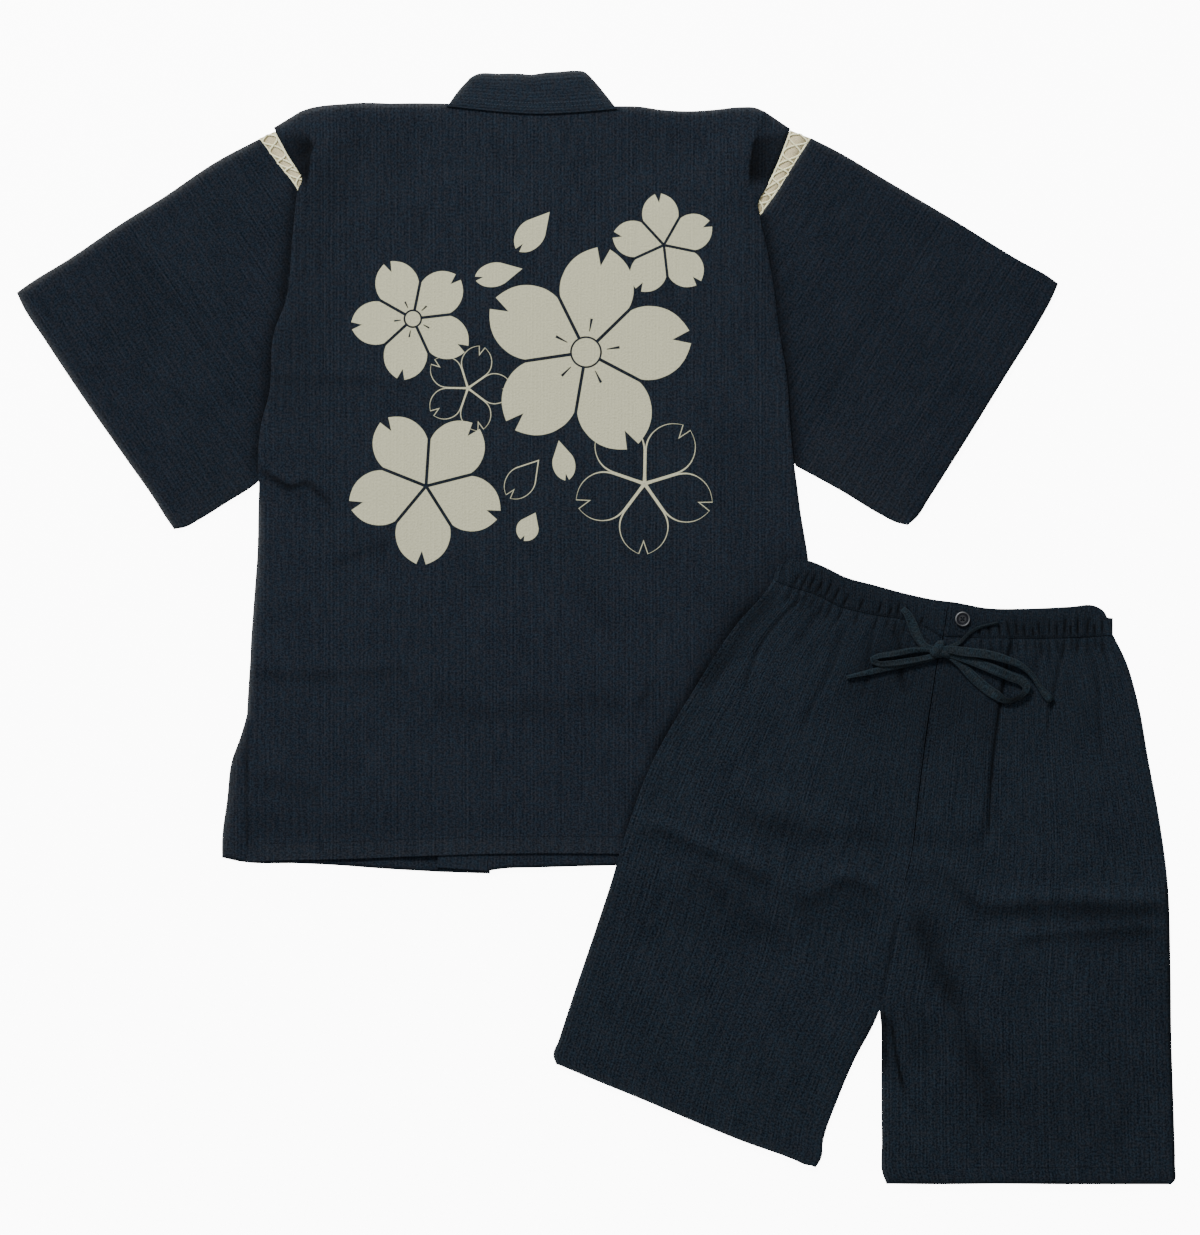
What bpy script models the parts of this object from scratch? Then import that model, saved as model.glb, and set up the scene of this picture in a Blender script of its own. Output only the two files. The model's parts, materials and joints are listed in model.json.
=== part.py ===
"""A jinbei, laid flat: the jacket face down, the shorts face up across its lower corner.

The frame is +X across the jacket, +Y from its hem to its collar and +Z up, with the floor at z = 0 and
the origin under the middle of the set. All sizes below are millimetres; MM turns them into metres.
Left and right are the wearer's, so the jacket's left side is at -X and the shorts' left leg at +X.
Every cloth piece is a grid laid over its own outline, lifted to its layer and thickened by Solidify.
"""

import math

import bmesh
import bpy
import numpy as np

MM = 0.001

# Cloth
CLOTH = 1.2  # the wall of every cloth piece
HEM = 1.9  # the wall where a hem is turned up
HEM_DEPTH = 19.0
BAND = 1.4  # the neckband along the fronts
COLLAR = 2.4  # the neckband behind the neck, folded double
WAIST = 1.8  # the waistband over its elastic
TAPE = 1.0  # ties, drawstring and lace
SEAM = 0.3  # the parting between neighbouring pieces

# Layers, as the height of the middle of a wall
LOFT = 2.7  # the back panel over one layer of front
NECK_DIP = 0.6  # how far it comes down where the collar lies on it
STEP = 2.0  # how far the right front steps up to lie over the left one
SLEEVE_LOW = CLOTH / 2
SLEEVE_HIGH = 2.8
SLEEVE_PUFF = 0.9
LACE_HIGH = 2.6
RIM_ON_FRONT = 1.5  # where a rolled edge of the back panel ends, over the front's edge
JACKET_TOP = 6.2  # where the shorts begin to lie over the jacket
SHORTS_LOFT = 2.7  # between the back and the front of a leg
PARTING = 2.1  # the height, over what the shorts lie on, at which the back and front of a leg meet
WAIST_LIFT = 1.6  # how much higher the front stands at the gathered waist
RAMP = 30.0  # how far from the jacket's edge the shorts come down to the floor
ROLL = 5.0  # the width of a rolled edge
CORNER = 14.0  # how far from a corner a hem's line bends to meet the fold beside the edge

# Fly, drawstring and button
FLY_RISE = 1.9
FLY_FOOT = -222.0  # where the fly's rise ends
FLY_PLEAT = 66.0  # from the fly's edge to the pleat beside it
UNDERLAP = 34.0
UNDERLAP_FOOT = -194.0
STRING_WIDTH = 8.0
TIE_WIDTH = 12.0
BUTTON_ACROSS = 15.0
BUTTON_HOLE = 1.8
GATHERS = 13  # across each half of the waistband
LEG_GATHERS = 7  # of them that run on down each leg
GATHER_DEPTH = 0.9
GATHER_REACH = 120.0  # how far down the legs the gathers run out

# The back panel, a row for each section: the outline's left edge, the fold beside it, the right fold and
# edge. Above the underarm the edge is the armhole and the fold lies inside it, over the sleeve.
BACK_COLUMNS = ("key", "edge_x", "edge_y", "fold_x", "fold_y", "rim", "crest")
BACK_LEFT = [
    (500, -322, 500, -296, 516, 2.4, 3.6),
    (484, -314, 483, -283, 487, 2.4, 5.2),
    (467, -303.5, 466, -286, 470, 2.5, 6.2),
    (460, -299, 459, -287, 461, 3.9, 6.6),
    (453, -294, 451, -288, 451, 4.0, 6.6),
    (438, -297.5, 438, -291.5, 438, 4.0, 6.6),
    (390, -303, 390, -297, 390, 4.0, 6.6),
    (323, -311, 323, -305, 323, 4.0, 6.6),
    (300, -320, 300, -314, 300, 4.0, 6.6),
    (231, -327, 231, -321, 231, 4.0, 6.6),
    (205, -334, 205, -328, 205, 4.0, 6.4),
    (165, -337.5, 165, -331.5, 165, 4.0, 6.0),
    (143, -336.5, 143, -331, 143, 4.0, 5.6),
    (128, -337, 128, -332, 128, 3.4, 5.0),
    (108, -337.5, 108, -332, 108, 1.5, 4.4),
    (68, -338, 68, -333, 68, 1.5, 4.2),
    (-12, -344, -12, -339, -12, 1.5, 4.2),
    (-94, -349, -94, -344, -94, 1.5, 4.2),
    (-162, -350, -162, -345, -162, 1.8, 4.2),
    (-234, -349, -234, -344, -234, 2.4, 3.9),
]
BACK_RIGHT = [
    (500, 194, 499, 169, 516, 2.4, 3.6),
    (484, 189.5, 483, 157, 485, 2.4, 5.2),
    (460, 180, 460, 154, 460, 2.5, 6.0),
    (445, 173, 445, 154, 445, 2.5, 6.4),
    (437, 168.5, 437, 155, 437, 3.9, 6.6),
    (426, 162, 426, 155, 426, 4.0, 6.6),
    (411, 164, 411, 158, 411, 4.0, 6.6),
    (378, 171, 378, 165, 378, 4.0, 6.6),
    (345, 177, 345, 171, 345, 4.0, 6.6),
    (297, 183, 297, 177, 297, 4.0, 6.6),
    (256, 190, 256, 184, 256, 4.0, 6.6),
    (192, 195, 192, 189, 192, 4.0, 6.4),
    (163, 198, 163, 192, 163, 4.0, 6.0),
    (141, 201, 141, 195, 141, 3.6, 5.0),
    (118, 204, 118, 199, 118, 1.5, 5.0),
    (68, 212, 68, 207, 68, 1.5, 5.0),
    (-12, 216, -12, 211, -12, 1.5, 5.0),
    (-94, 219, -94, 214, -94, 1.5, 5.0),
    (-162, 222, -162, 217, -162, 1.8, 5.0),
    (-234, 224, -234, 219, -234, 2.4, 3.9),
]
SHOULDERS = [(-296, 516), (-286, 519.5), (-276, 521.5), (-256, 523.5), (-216, 524), (-176, 524.5),
             (-149, 524), (-60, 516), (21, 521.5), (44, 521), (64, 518), (94, 516.5), (119, 518),
             (144, 520.5), (159, 520), (169, 516)]
BACK_HEM = [(-344, -233), (-246, -231), (-156, -227.5), (-106, -226), (24, -226), (104, -228), (219, -232)]
# Its rows, as shares of its length, closer where the lace ends
BACK_STATIONS = [0.07, 0.14, 0.21, 0.28, 0.35, 0.42, 0.47, 0.515, 0.56, 0.63, 0.70, 0.77, 0.83, 0.879,
                 0.899, 0.914, 0.925, 0.936, 0.9455, 0.955, 0.978]
BACK_LENGTH = 732.0
NECK = (-149, 21)  # the neck points, between which the neckband is sewn on

# The fronts: the side seam from the hem up to the underarm, and the seam of the neckband; the lace bounds
# their armholes
FRONT_LEFT_SIDE = [(-374, -229.5), (-374, -212), (-369, -172), (-364, -132), (-356, -110), (-350, -90),
                   (-345, -12), (-339, 68), (-336, 108)]
FRONT_LEFT_SEAM = [(-156, -244), (-155, -215), (-142, -152), (-118, -12), (-103, 148), (-100, 293),
                   (-118, 423), (-147, 521)]
FRONT_LEFT_HEM = [(-374, -229.5), (-356, -233.5), (-296, -235.5), (-256, -237.5), (-216, -240.5),
                  (-156, -244)]
FRONT_LEFT_SHOULDER = [(-321, 496), (-300, 511), (-270, 521), (-147, 521)]
FRONT_RIGHT_SIDE = [(223, -236), (221, -162), (218, -94), (215, -12), (210, 68), (203, 118)]
FRONT_RIGHT_SEAM = [(-109, -243), (-107, -215), (-101, -152), (-84, -12), (-66, 148), (-41, 293), (-9, 423),
                    (20, 519)]
FRONT_RIGHT_HEM = [(-109, -243), (-96, -241), (-56, -239.5), (17, -237.5), (223, -236)]
FRONT_RIGHT_SHOULDER = [(20, 519), (63, 516), (94, 514), (117, 516), (158, 517), (193, 496)]
FRONT_STATIONS = np.concatenate([[0, 0.05], np.linspace(0.12, 0.5, 6), np.linspace(0.525, 1, 21)])
BAND_WIDTH = 50.0
BAND_TOP_LEFT = [(-125, 548), (-90, 552)]
BAND_TOP_RIGHT = [(-40, 552), (-8, 551)]
COLLAR_SEAM = [(-149, 523), (-105, 518.5), (-60, 515.5), (-20, 517), (21, 520.5)]
COLLAR_TOP = [(-126, 549.5), (-120, 553), (-96, 554), (-76, 554), (-66, 553), (-51, 555), (-36, 556),
              (-21, 557), (-12, 556), (-6, 551)]
COLLAR_LEFT = [(-149, 524), (-136, 539), (-126, 549.5)]
COLLAR_RIGHT = [(21, 521.5), (9, 534), (-1, 546), (-6, 551)]

# The sleeves, each a flattened tube: cuff and armhole, from the shoulder fold down to the underarm seam
SLEEVE_LEFT_FOLD = [(-579, 335), (-568, 343), (-527, 368.5), (-470, 407), (-436, 428), (-376, 468),
                    (-336, 489)]
SLEEVE_LEFT_UNDER = [(-422, 99), (-411, 101), (-396, 109), (-368, 126.5), (-342, 143), (-336, 148)]
SLEEVE_LEFT_CUFF = [(-579, 335), (-573, 322), (-551, 288), (-511, 228), (-469, 168), (-441, 128),
                    (-431, 112), (-422, 99)]
SLEEVE_LEFT_ARMHOLE = [(-336, 489), (-317, 463), (-298, 437), (-293, 390), (-293, 323), (-304, 231),
                       (-320, 175), (-336, 148)]
SLEEVE_RIGHT_FOLD = [(462, 344), (454, 350), (422, 368), (357, 408), (289, 448), (238, 478), (215, 489.5)]
SLEEVE_RIGHT_UNDER = [(312, 103), (301, 105.5), (284, 114), (245, 137.5), (227, 147.5), (200, 162)]
SLEEVE_RIGHT_CUFF = [(462, 344), (455, 328), (444, 308), (407, 248), (370, 188), (332, 128), (321, 111),
                     (312, 103)]
SLEEVE_RIGHT_ARMHOLE = [(215, 489.5), (200, 467), (177, 430), (164, 412), (156, 368), (156, 323),
                        (166, 256), (180, 192), (200, 162)]

# The lace let in between sleeve and body: its two edges, sleeve side first
LACE_LEFT = [(-335, 490, -323, 495.5), (-317.5, 465, -305, 464), (-296.5, 438, -285, 441),
             (-291.5, 390, -281.5, 392), (-291.5, 323, -282.5, 323), (-302, 231, -293.5, 230),
             (-318, 177, -309, 171), (-333, 150, -325, 141)]
LACE_RIGHT = [(213.3, 490, 195.5, 497), (199, 467, 184.5, 467), (187, 447, 174.5, 445),
              (163, 413, 156, 418), (154, 368, 146, 370), (153.5, 323, 144, 323), (162.5, 256, 151.5, 249),
              (177, 192, 167, 184), (196.5, 160.5, 189, 149)]
LACE_OPEN = {"left": 66.0, "right": 92.0}  # the length that is worked open
LACE_PITCH = 12.0
LACE_SELVEDGE = 0.17  # of the width
LACE_CORD = 0.75  # half the width of a crossing cord
LACE_END = 3.0  # the plain end at the shoulder

# The ties, tucked in flat: the route of each, and what it lies on
TIES = {
    "tie_outer_left": ([(-56, 62), (20, 58), (92, 44)], 0.0),
    "tie_outer_right": ([(203, 62), (195, 30), (197, -40), (199, -130)], CLOTH + SEAM),
    "tie_inner_left": ([(-329, 62), (-321, 30), (-323, -40), (-327, -130)], CLOTH + SEAM),
    "tie_inner_right": ([(-143, -60), (-210, -64), (-300, -84)], CLOTH + SEAM),
}

# The shorts: the outer edges, hems and casing, and the line from the inseam's top up the crotch to the fly
OUTER_RIGHT = [(-39, -436), (-42, -428), (-37, -412), (-24, -372), (3, -292), (16, -252), (23, -228),
               (59, -129), (98, -62), (142, 5), (171, 38), (178, 47)]
OUTER_LEFT = [(574, -556), (578, -552), (578.5, -540), (577.5, -492), (575, -412), (574, -332), (571, -252),
              (563, -192), (552, -132), (541, -72), (529, -32), (516, -8)]
INSEAM_RIGHT = [(219, -539), (224, -531), (227, -512), (241, -472), (258, -432), (279, -392)]
INSEAM_LEFT = [(291, -555.5), (287, -545), (286, -512), (285.5, -450), (285.5, -400)]
CENTRE = [(285, -377), (291, -345), (302, -284), (309, -252), (315, -227), (322, -170), (331, -99),
          (335, -73), (341, -34), (347, -9)]
CENTRE_GAP = [1.8, 1.8, 1.8, 1.8, 1.8, 1.5, 0.8, 0.8, 0.8, 0.8]
HEM_RIGHT = [(-39, -436), (-1, -452), (48, -472), (95, -492), (144, -512), (198, -532), (211, -538),
             (219, -539)]
HEM_LEFT = [(291, -555.5), (340, -556), (400, -555.5), (470, -556), (530, -556), (574, -556)]
CASING = [(178, 47), (193, 41), (221, 32), (245, 20), (261, 16), (280, 12), (306, 8), (329, 0), (347, -9),
          (364, -10), (409, -11), (440, -11), (467, -10.5), (492, -9.5), (516, -8)]
WAIST_TOP_RIGHT = [(180, 57), (189, 66), (197, 67), (211.5, 64.5), (229, 57.5), (248, 48), (278.5, 39.5),
                   (308, 31.5), (341.5, 24.5), (351, 22.5)]
WAIST_TOP_LEFT = [(352, 22.5), (366, 21.5), (391, 16.5), (433, 12.5), (472, 14.5), (494, 15), (506, 13),
                  (513, 7)]
WAIST_TOP_BACK = [(183, 64), (190, 70), (198, 70.5), (212, 68), (229, 61), (248, 51.5), (278.5, 43),
                  (308, 35), (341.5, 28), (358, 26), (391, 20), (431, 19.5), (474, 21.5), (500, 23),
                  (508, 20), (514, 12)]
FLY_TOP = (351, 22.5)
LEG = 540.0  # from the hem to the casing
CROTCH_SHARE = 0.475  # the part of the inner edge that is inseam
LEG_STATIONS = [0.14, 0.27, 0.38, 0.45, 0.485, 0.515, 0.545, 0.58, 0.63, 0.69, 0.76, 0.84, 0.91, 0.96, 1]

# The largest folds: both ends, half width and height
FOLD_COLUMNS = ("x0", "y0", "x1", "y1", "half_width", "height")
SHORTS_FOLDS = [
    (317, -240, 384, -273, 12, 1.8),
    (384, -273, 570, -276, 12, 2.0),
    (421, -306, 570, -302, 11, 1.3),
    (44, -196, 110, -221, 12, 1.8),
    (110, -221, 193, -260, 12, 1.6),
    (209, -270, 251, -252, 11, 1.2),
    (251, -252, 288, -268, 11, 1.2),
    (310, -280, 342, -331, 12, 1.5),
    (342, -331, 404, -480, 12, 1.2),
]
BACK_FOLDS = [
    (-338, 158, -296, 138, 9, 1.6),
    (-296, 138, -251, 103, 9, 1.2),
    (-326, 252, -246, 250, 10, 0.8),
    (-346, -37, -166, -48, 14, 1.0),
    (44, -72, 64, -52, 9, 0.9),
]

# The drawstring: the middle of the flat cord, and how far each point lies over the cloth
STRINGS = {
    "drawstring_lead_right": [(309, 17, 0), (315, 2, 0), (328, -17, 0)],
    "drawstring_lead_left": [(408, 6, 0), (388, 2, 0), (372, -7, 0), (359.5, -15.5, 0)],
    "drawstring_tail_right": [(250, -48, 0), (268, -43, 0), (287, -37, 0), (310, -31, 0), (329.5, -29, 0)],
    "drawstring_loop_right": [(329, -22, 2.6), (304, -18, 1.6), (284, -24, 1.4), (275, -31, 1.4),
                              (284, -39, 1.4), (304, -35, 1.4), (328, -30, 1.4)],
    "drawstring_loop_left": [(358.5, -29, 1.5), (390, -40, 1.5), (411, -47.5, 1.5), (425, -54, 1.4),
                             (429, -61, 1.2), (424, -69, 0.8), (411, -74, 0), (392, -63, 0), (375, -49, 0),
                             (357.5, -34, 0)],
    "drawstring_tail_left": [(359, -21, 3.2), (384, -24, 3.0), (408.5, -32, 2.8), (428.5, -42, 1.4),
                             (442, -61, 0.1), (453, -74.5, 0)],
}
KNOT_AT = (343.5, -26)
KNOT_ACROSS = (29.0, 21.0)
KNOT_HEIGHT = 6.0
KNOT_FLAT = 0.65  # how far below its middle the knot is flat, as a share of its half height
BUTTON_AT = (366, 9)

COLOURS = {
    "jacket": (0.011, 0.016, 0.025),
    "sleeve": (0.009, 0.014, 0.022),
    "collar": (0.014, 0.021, 0.030),
    "shorts": (0.008, 0.012, 0.021),
    "lace": (0.80, 0.77, 0.65),
    "button": (0.010, 0.012, 0.016),
}


# ---------------------------------------------------------------- lines and surfaces


def smooth(x):
    """From 0 to 1 with level ends."""
    x = np.clip(x, 0, 1)
    return x * x * (3 - 2 * x)


def spline(knots, values, at):
    """A cubic through the values at the knots, which rise."""
    knots, values, at = (np.asarray(a, float) for a in (knots, values, at))
    slopes = np.gradient(values, knots)
    i = np.clip(np.searchsorted(knots, at, side="right") - 1, 0, len(knots) - 2)
    step = knots[i + 1] - knots[i]
    u = (at - knots[i]) / step
    return (
        (2 * u**3 - 3 * u**2 + 1) * values[i]
        + (u**3 - 2 * u**2 + u) * step * slopes[i]
        + (3 * u**2 - 2 * u**3) * values[i + 1]
        + (u**3 - u**2) * step * slopes[i + 1]
    )


def through(points, at):
    """Points on the smooth line through the given ones, at shares of its length."""
    points = np.array(points, float)
    length = np.concatenate([[0], np.cumsum(np.linalg.norm(np.diff(points, axis=0), axis=1))])
    return np.stack([spline(length / length[-1], column, at) for column in points.T], axis=-1)


def sections(table, at):
    """The columns of a side table at the keys that run from its last row to its first."""
    rows = np.array(table[::-1], float)
    key = rows[0, 0] + at * (rows[-1, 0] - rows[0, 0])
    return {name: np.interp(key, rows[:, 0], rows[:, i]) for i, name in enumerate(BACK_COLUMNS)}


def folds(table, x, y):
    """The height that the folds add at a place: each is a ridge that dies away at its ends."""
    total = np.zeros_like(x)
    for x0, y0, x1, y1, half_width, height in table:
        run = np.array([x1 - x0, y1 - y0], float)
        long = np.hypot(*run)
        run /= long
        ahead = (x - x0) * run[0] + (y - y0) * run[1]
        aside = (x - x0) * run[1] - (y - y0) * run[0]
        beyond = np.maximum(0, np.abs(ahead - long / 2) - long / 2)
        total = np.maximum(total, height * np.exp(-((aside / half_width) ** 2 + (beyond / 16) ** 2)))
    return total


def roll_stations(count):
    """Stations across a rolled edge, upright at its end: shares of its width and of its height."""
    q = np.linspace(0, math.pi / 2, count)[:-1]
    return np.append(0, 1 - np.cos(q)), np.append(0, 0.16 + 0.84 * np.sin(q))


def sewn(edge_left, fold_left, fold_right, edge_right, inner, top, bottom, along, spread=False):
    """A panel's points in plan and, for each, the share of its layer's height that it has.

    The four side lines have a point for each row. Between an edge and its fold lie the stations of a roll,
    or, with spread, those of a wider slope where the two are far apart.
    """
    out, up = roll_stations(4)
    wide_out = np.array([0.0, 0.42, 0.78, 0.93])
    wide_up = np.array([0.0, 0.06, 0.16, 0.55])
    across = np.linspace(0, 1, inner + 1)[:, None]
    rows = []
    lifts = []
    for i in range(len(along)):
        parts = []
        for edge, fold in ((edge_left[i], fold_left[i]), (edge_right[i], fold_right[i])):
            share = float(np.clip((np.linalg.norm(edge - fold) - 8) / 12, 0, 1)) if spread else 0.0
            o = out * (1 - share) + wide_out * share
            u = up * (1 - share) + wide_up * share
            parts.append((edge + (fold - edge) * o[:, None], u))
        middle = fold_left[i] * (1 - across) + fold_right[i] * across
        rows.append(np.concatenate([parts[0][0], middle, parts[1][0][::-1]]))
        lifts.append(np.concatenate([parts[0][1], np.ones(inner + 1), parts[1][1][::-1]]))
    plan, lift = np.array(rows), np.array(lifts)
    for curve, weight, row in ((top, along, -1), (bottom, 1 - along, 0)):
        ends = plan[row, 4], plan[row, -5]
        chord = ends[0] * (1 - across) + ends[1] * across
        long = np.linalg.norm(np.diff(np.array(curve, float), axis=0), axis=1).sum()
        cut = 0 if spread else ROLL / long
        line = through(curve, cut + (1 - 2 * cut) * across[:, 0])
        near = long / CORNER
        line = line + (ends[0] - line[0]) * (1 - across) ** near + (ends[1] - line[-1]) * across**near
        plan[:, 4:-4] += weight[:, None, None] * (line - chord)
    return plan, lift


def plain(left, right, bottom, top, across, along):
    """Points in plan between four curves: side lines from bottom to top, cross lines from left to right."""
    s, t = across[None, :, None], along[:, None, None]
    a, b = through(left, along)[:, None], through(right, along)[:, None]
    c, d = through(bottom, across)[None], through(top, across)[None]
    corners = (
        (1 - s) * (1 - t) * c[:, :1] + s * (1 - t) * c[:, -1:] + (1 - s) * t * d[:, :1] + s * t * d[:, -1:]
    )
    return (1 - s) * a + s * b + (1 - t) * c + t * d - corners


# ---------------------------------------------------------------- the layers' heights


def front_lift(x, y):
    """How far the right front stands off the floor: it steps over the left one."""
    return STEP * smooth((478 - y) / 60) * smooth((164 - x) / 60)


def back_height(x, y):
    """The middle of the back panel over the fronts, away from its folds."""
    return LOFT + front_lift(x, y) + folds(BACK_FOLDS, x, y)


def shorts_floor(x, y):
    """What the shorts lie on: the jacket's corner, then the floor."""
    side = np.interp(-y, [-140, -68, 12, 94, 162, 240], [203, 213, 217, 220, 223, 225])
    hem = np.interp(x, [-160, 24, 104, 230], [-237, -237, -237, -236])
    beyond = np.hypot(np.maximum(0, x - side - 6), np.maximum(0, hem - y - 6))
    return JACKET_TOP * smooth(1 - beyond / RAMP)


def fly_line(y):
    points = np.array(CENTRE + [FLY_TOP], float)
    return np.interp(y, points[:, 1], points[:, 0])


def fly_rise(x, y, lead=3.0):
    """How far the left front stands up over the fly's underlap, as far as the pleat beside it."""
    beyond = x - fly_line(y)
    up = smooth((beyond + lead) / lead)
    down = smooth((FLY_PLEAT + 6 - beyond) / 8)
    return FLY_RISE * up * down * smooth((y - FLY_FOOT) / 24)


def waist_lift(x, y):
    """How much higher the front stands at the waist, running out down the legs."""
    casing = np.array(CASING, float)
    below = np.interp(x, casing[:, 0], casing[:, 1]) - y
    return WAIST_LIFT * smooth(1 - below / 90)


def shorts_front(x, y):
    """The middle of the shorts' front panels, without the fly."""
    return shorts_floor(x, y) + CLOTH / 2 + SHORTS_LOFT + waist_lift(x, y) + folds(SHORTS_FOLDS, x, y)


# ---------------------------------------------------------------- making solids


def material(name, colour, roughness):
    made = bpy.data.materials.new(name)
    made.use_nodes = True
    shader = made.node_tree.nodes["Principled BSDF"]
    shader.inputs["Base Color"].default_value = (*colour, 1)
    shader.inputs["Roughness"].default_value = roughness
    return made


def finish(name, mesh, colour, roughness=0.9):
    mesh.materials.append(material(name, COLOURS[colour], roughness))
    mesh.shade_smooth()
    mesh.set_sharp_from_angle(angle=math.radians(40))
    made = bpy.data.objects.new(name, mesh)
    bpy.context.collection.objects.link(made)
    return made


def thicken(made, thickness):
    solidify = made.modifiers.new("wall", "SOLIDIFY")
    solidify.thickness = thickness * MM
    solidify.offset = 0
    return solidify


def cloth(name, middle, colour, thickness=CLOTH, tube=False, hem=None):
    """A wall through a grid of points; hem holds the share of the turned-up thickness at each point."""
    rows, columns = middle.shape[:2]
    bm = bmesh.new()
    bmesh.ops.create_grid(bm, x_segments=columns - 1, y_segments=rows - 1, size=1)
    weights = bm.verts.layers.deform.verify()
    for vert in bm.verts:
        i = round((vert.co.y + 1) / 2 * (rows - 1))
        j = round((vert.co.x + 1) / 2 * (columns - 1))
        vert.co = middle[i, j] * MM
        if hem is not None:
            vert[weights][0] = float(hem[i, j])
    if tube:
        bmesh.ops.remove_doubles(bm, verts=bm.verts, dist=0.00001)
    mesh = bpy.data.meshes.new(name)
    bm.to_mesh(mesh)
    bm.free()
    made = finish(name, mesh, colour)
    solidify = thicken(made, HEM if hem is not None else thickness)
    if hem is not None:
        made.vertex_groups.new(name="hem")
        solidify.vertex_group = "hem"
        solidify.thickness_vertex_group = thickness / HEM
    return made


def hem_stations(long):
    """The first stations of a panel: its hem, and either side of the hem's stitching."""
    return [0, (HEM_DEPTH - 2) / long, HEM_DEPTH / long]


def hem_shares(along, columns, long):
    """The turned-up cloth: whole below the stitching, none above it."""
    return np.repeat((along < (HEM_DEPTH - 1) / long).astype(float)[:, None], columns, axis=1)


def flat(plan, height):
    """Points in plan lifted to a height, given as a number or an array."""
    return np.dstack([plan, np.broadcast_to(height, plan.shape[:2])])


# ---------------------------------------------------------------- the jacket


def back_panel():
    long = BACK_LENGTH
    out, up = roll_stations(4)
    along = np.concatenate([hem_stations(long), BACK_STATIONS, 1 - out[::-1] * ROLL / long])
    left, right = sections(BACK_LEFT, along), sections(BACK_RIGHT, along)
    lines = [
        np.stack([side[f"{line}_x"], side[f"{line}_y"]], axis=-1)
        for side, line in ((left, "edge"), (left, "fold"), (right, "fold"), (right, "edge"))
    ]
    plan, lift = sewn(*lines, 14, SHOULDERS, BACK_HEM, along, spread=True)
    x, y = plan[..., 0], plan[..., 1]
    base = back_height(x, y)
    for side, line in ((left, lines[1]), (right, lines[2])):
        share = np.exp(-(((x - line[:, :1]) / 42) ** 2))
        base = base * (1 - share) + np.maximum(base, side["crest"][:, None]) * share
    neck = smooth((x - NECK[0] + 6) / 12) * smooth((NECK[1] + 6 - x) / 12)
    base = base - NECK_DIP * neck * smooth((y - 480) / 30)
    rise = np.concatenate([np.ones(len(along) - 4), up[::-1]])[:, None]
    rise = rise + (1 - rise) * neck
    half = np.arange(x.shape[1]) < x.shape[1] / 2
    rim = np.where(half, left["rim"][:, None], right["rim"][:, None])
    low = RIM_ON_FRONT + (rim - RIM_ON_FRONT) * rise
    height = low + (base - low) * lift * rise
    cloth("jacket_back", flat(plan, height), "jacket", hem=hem_shares(along, x.shape[1], long))


def side_and_armhole(side, lace_table, way):
    """The outer line of a front: its side seam, then along the lace's body edge up to the shoulder."""
    body_edge = through(np.array(lace_table, float)[:, 2:], np.linspace(1, 0, 24))
    return np.concatenate([side, body_edge + (way * 7 * SEAM, 0)])


def front_panels():
    grid = np.linspace(0, 1, 5), FRONT_STATIONS
    left_side = side_and_armhole(FRONT_LEFT_SIDE, LACE_LEFT, 1)
    right_side = side_and_armhole(FRONT_RIGHT_SIDE, LACE_RIGHT, -1)
    left = plain(left_side, FRONT_LEFT_SEAM, FRONT_LEFT_HEM, FRONT_LEFT_SHOULDER, *grid)
    right = plain(FRONT_RIGHT_SEAM, right_side, FRONT_RIGHT_HEM, FRONT_RIGHT_SHOULDER, *grid)
    cloth("jacket_front_left", flat(left, CLOTH / 2), "jacket")
    height = front_lift(right[..., 0], right[..., 1]) + CLOTH / 2
    cloth("jacket_front_right", flat(right, height), "jacket")


def neckband_fronts():
    """Each runs from its front's hem up along the neckline seam and under the collar."""
    for name, seam, top, way in (
        ("neckband_left", FRONT_LEFT_SEAM, BAND_TOP_LEFT, 1),
        ("neckband_right", FRONT_RIGHT_SEAM, BAND_TOP_RIGHT, -1),
    ):
        inner = through(seam, FRONT_STATIONS)
        slope = np.gradient(inner, axis=0)
        slope /= np.linalg.norm(slope, axis=1)[:, None]
        normal = np.stack([slope[:, 1], -slope[:, 0]], axis=-1) * way
        width = np.array([1.6 * SEAM, BAND_WIDTH / 2, BAND_WIDTH])
        plan = inner[:, None] + normal[:, None] * width[:, None]
        share = np.linspace(0, 1, 3)[:, None]
        end = np.array(top[::way], float)
        plan = np.concatenate([plan, [end[0] * (1 - share) + end[1] * share]])
        if way < 0:
            plan = plan[:, ::-1]
            lift = front_lift(plan[..., 0], plan[..., 1])
        else:
            lift = 0
        cloth(name, flat(plan, BAND / 2 + lift), "collar", thickness=BAND)


def collar():
    """The neckband behind the neck: double cloth, folded along its top."""
    across, along = np.linspace(0, 1, 14), np.array([0, 0.2, 0.5, 0.85, 1])
    plan = plain(COLLAR_LEFT, COLLAR_RIGHT, COLLAR_SEAM, COLLAR_TOP, across, along)
    low = BAND + SEAM
    seam = LOFT - NECK_DIP + CLOTH / 2 + SEAM
    height = COLLAR / 2 + low + (seam - low) * smooth(1 - along / 0.5)
    cloth("neckband_back", flat(plan, height[:, None]), "collar", thickness=COLLAR)


SLEEVE_DEPTH = 285.0
SLEEVE_ROLL = 2.4
SLEEVE_FLATS = [0.1, 0.18, 0.27, 0.4, 0.6, 0.8]  # stations down its depth, closer where the armhole bends
RING_TURNS = np.radians([0, 30, 60])


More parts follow.
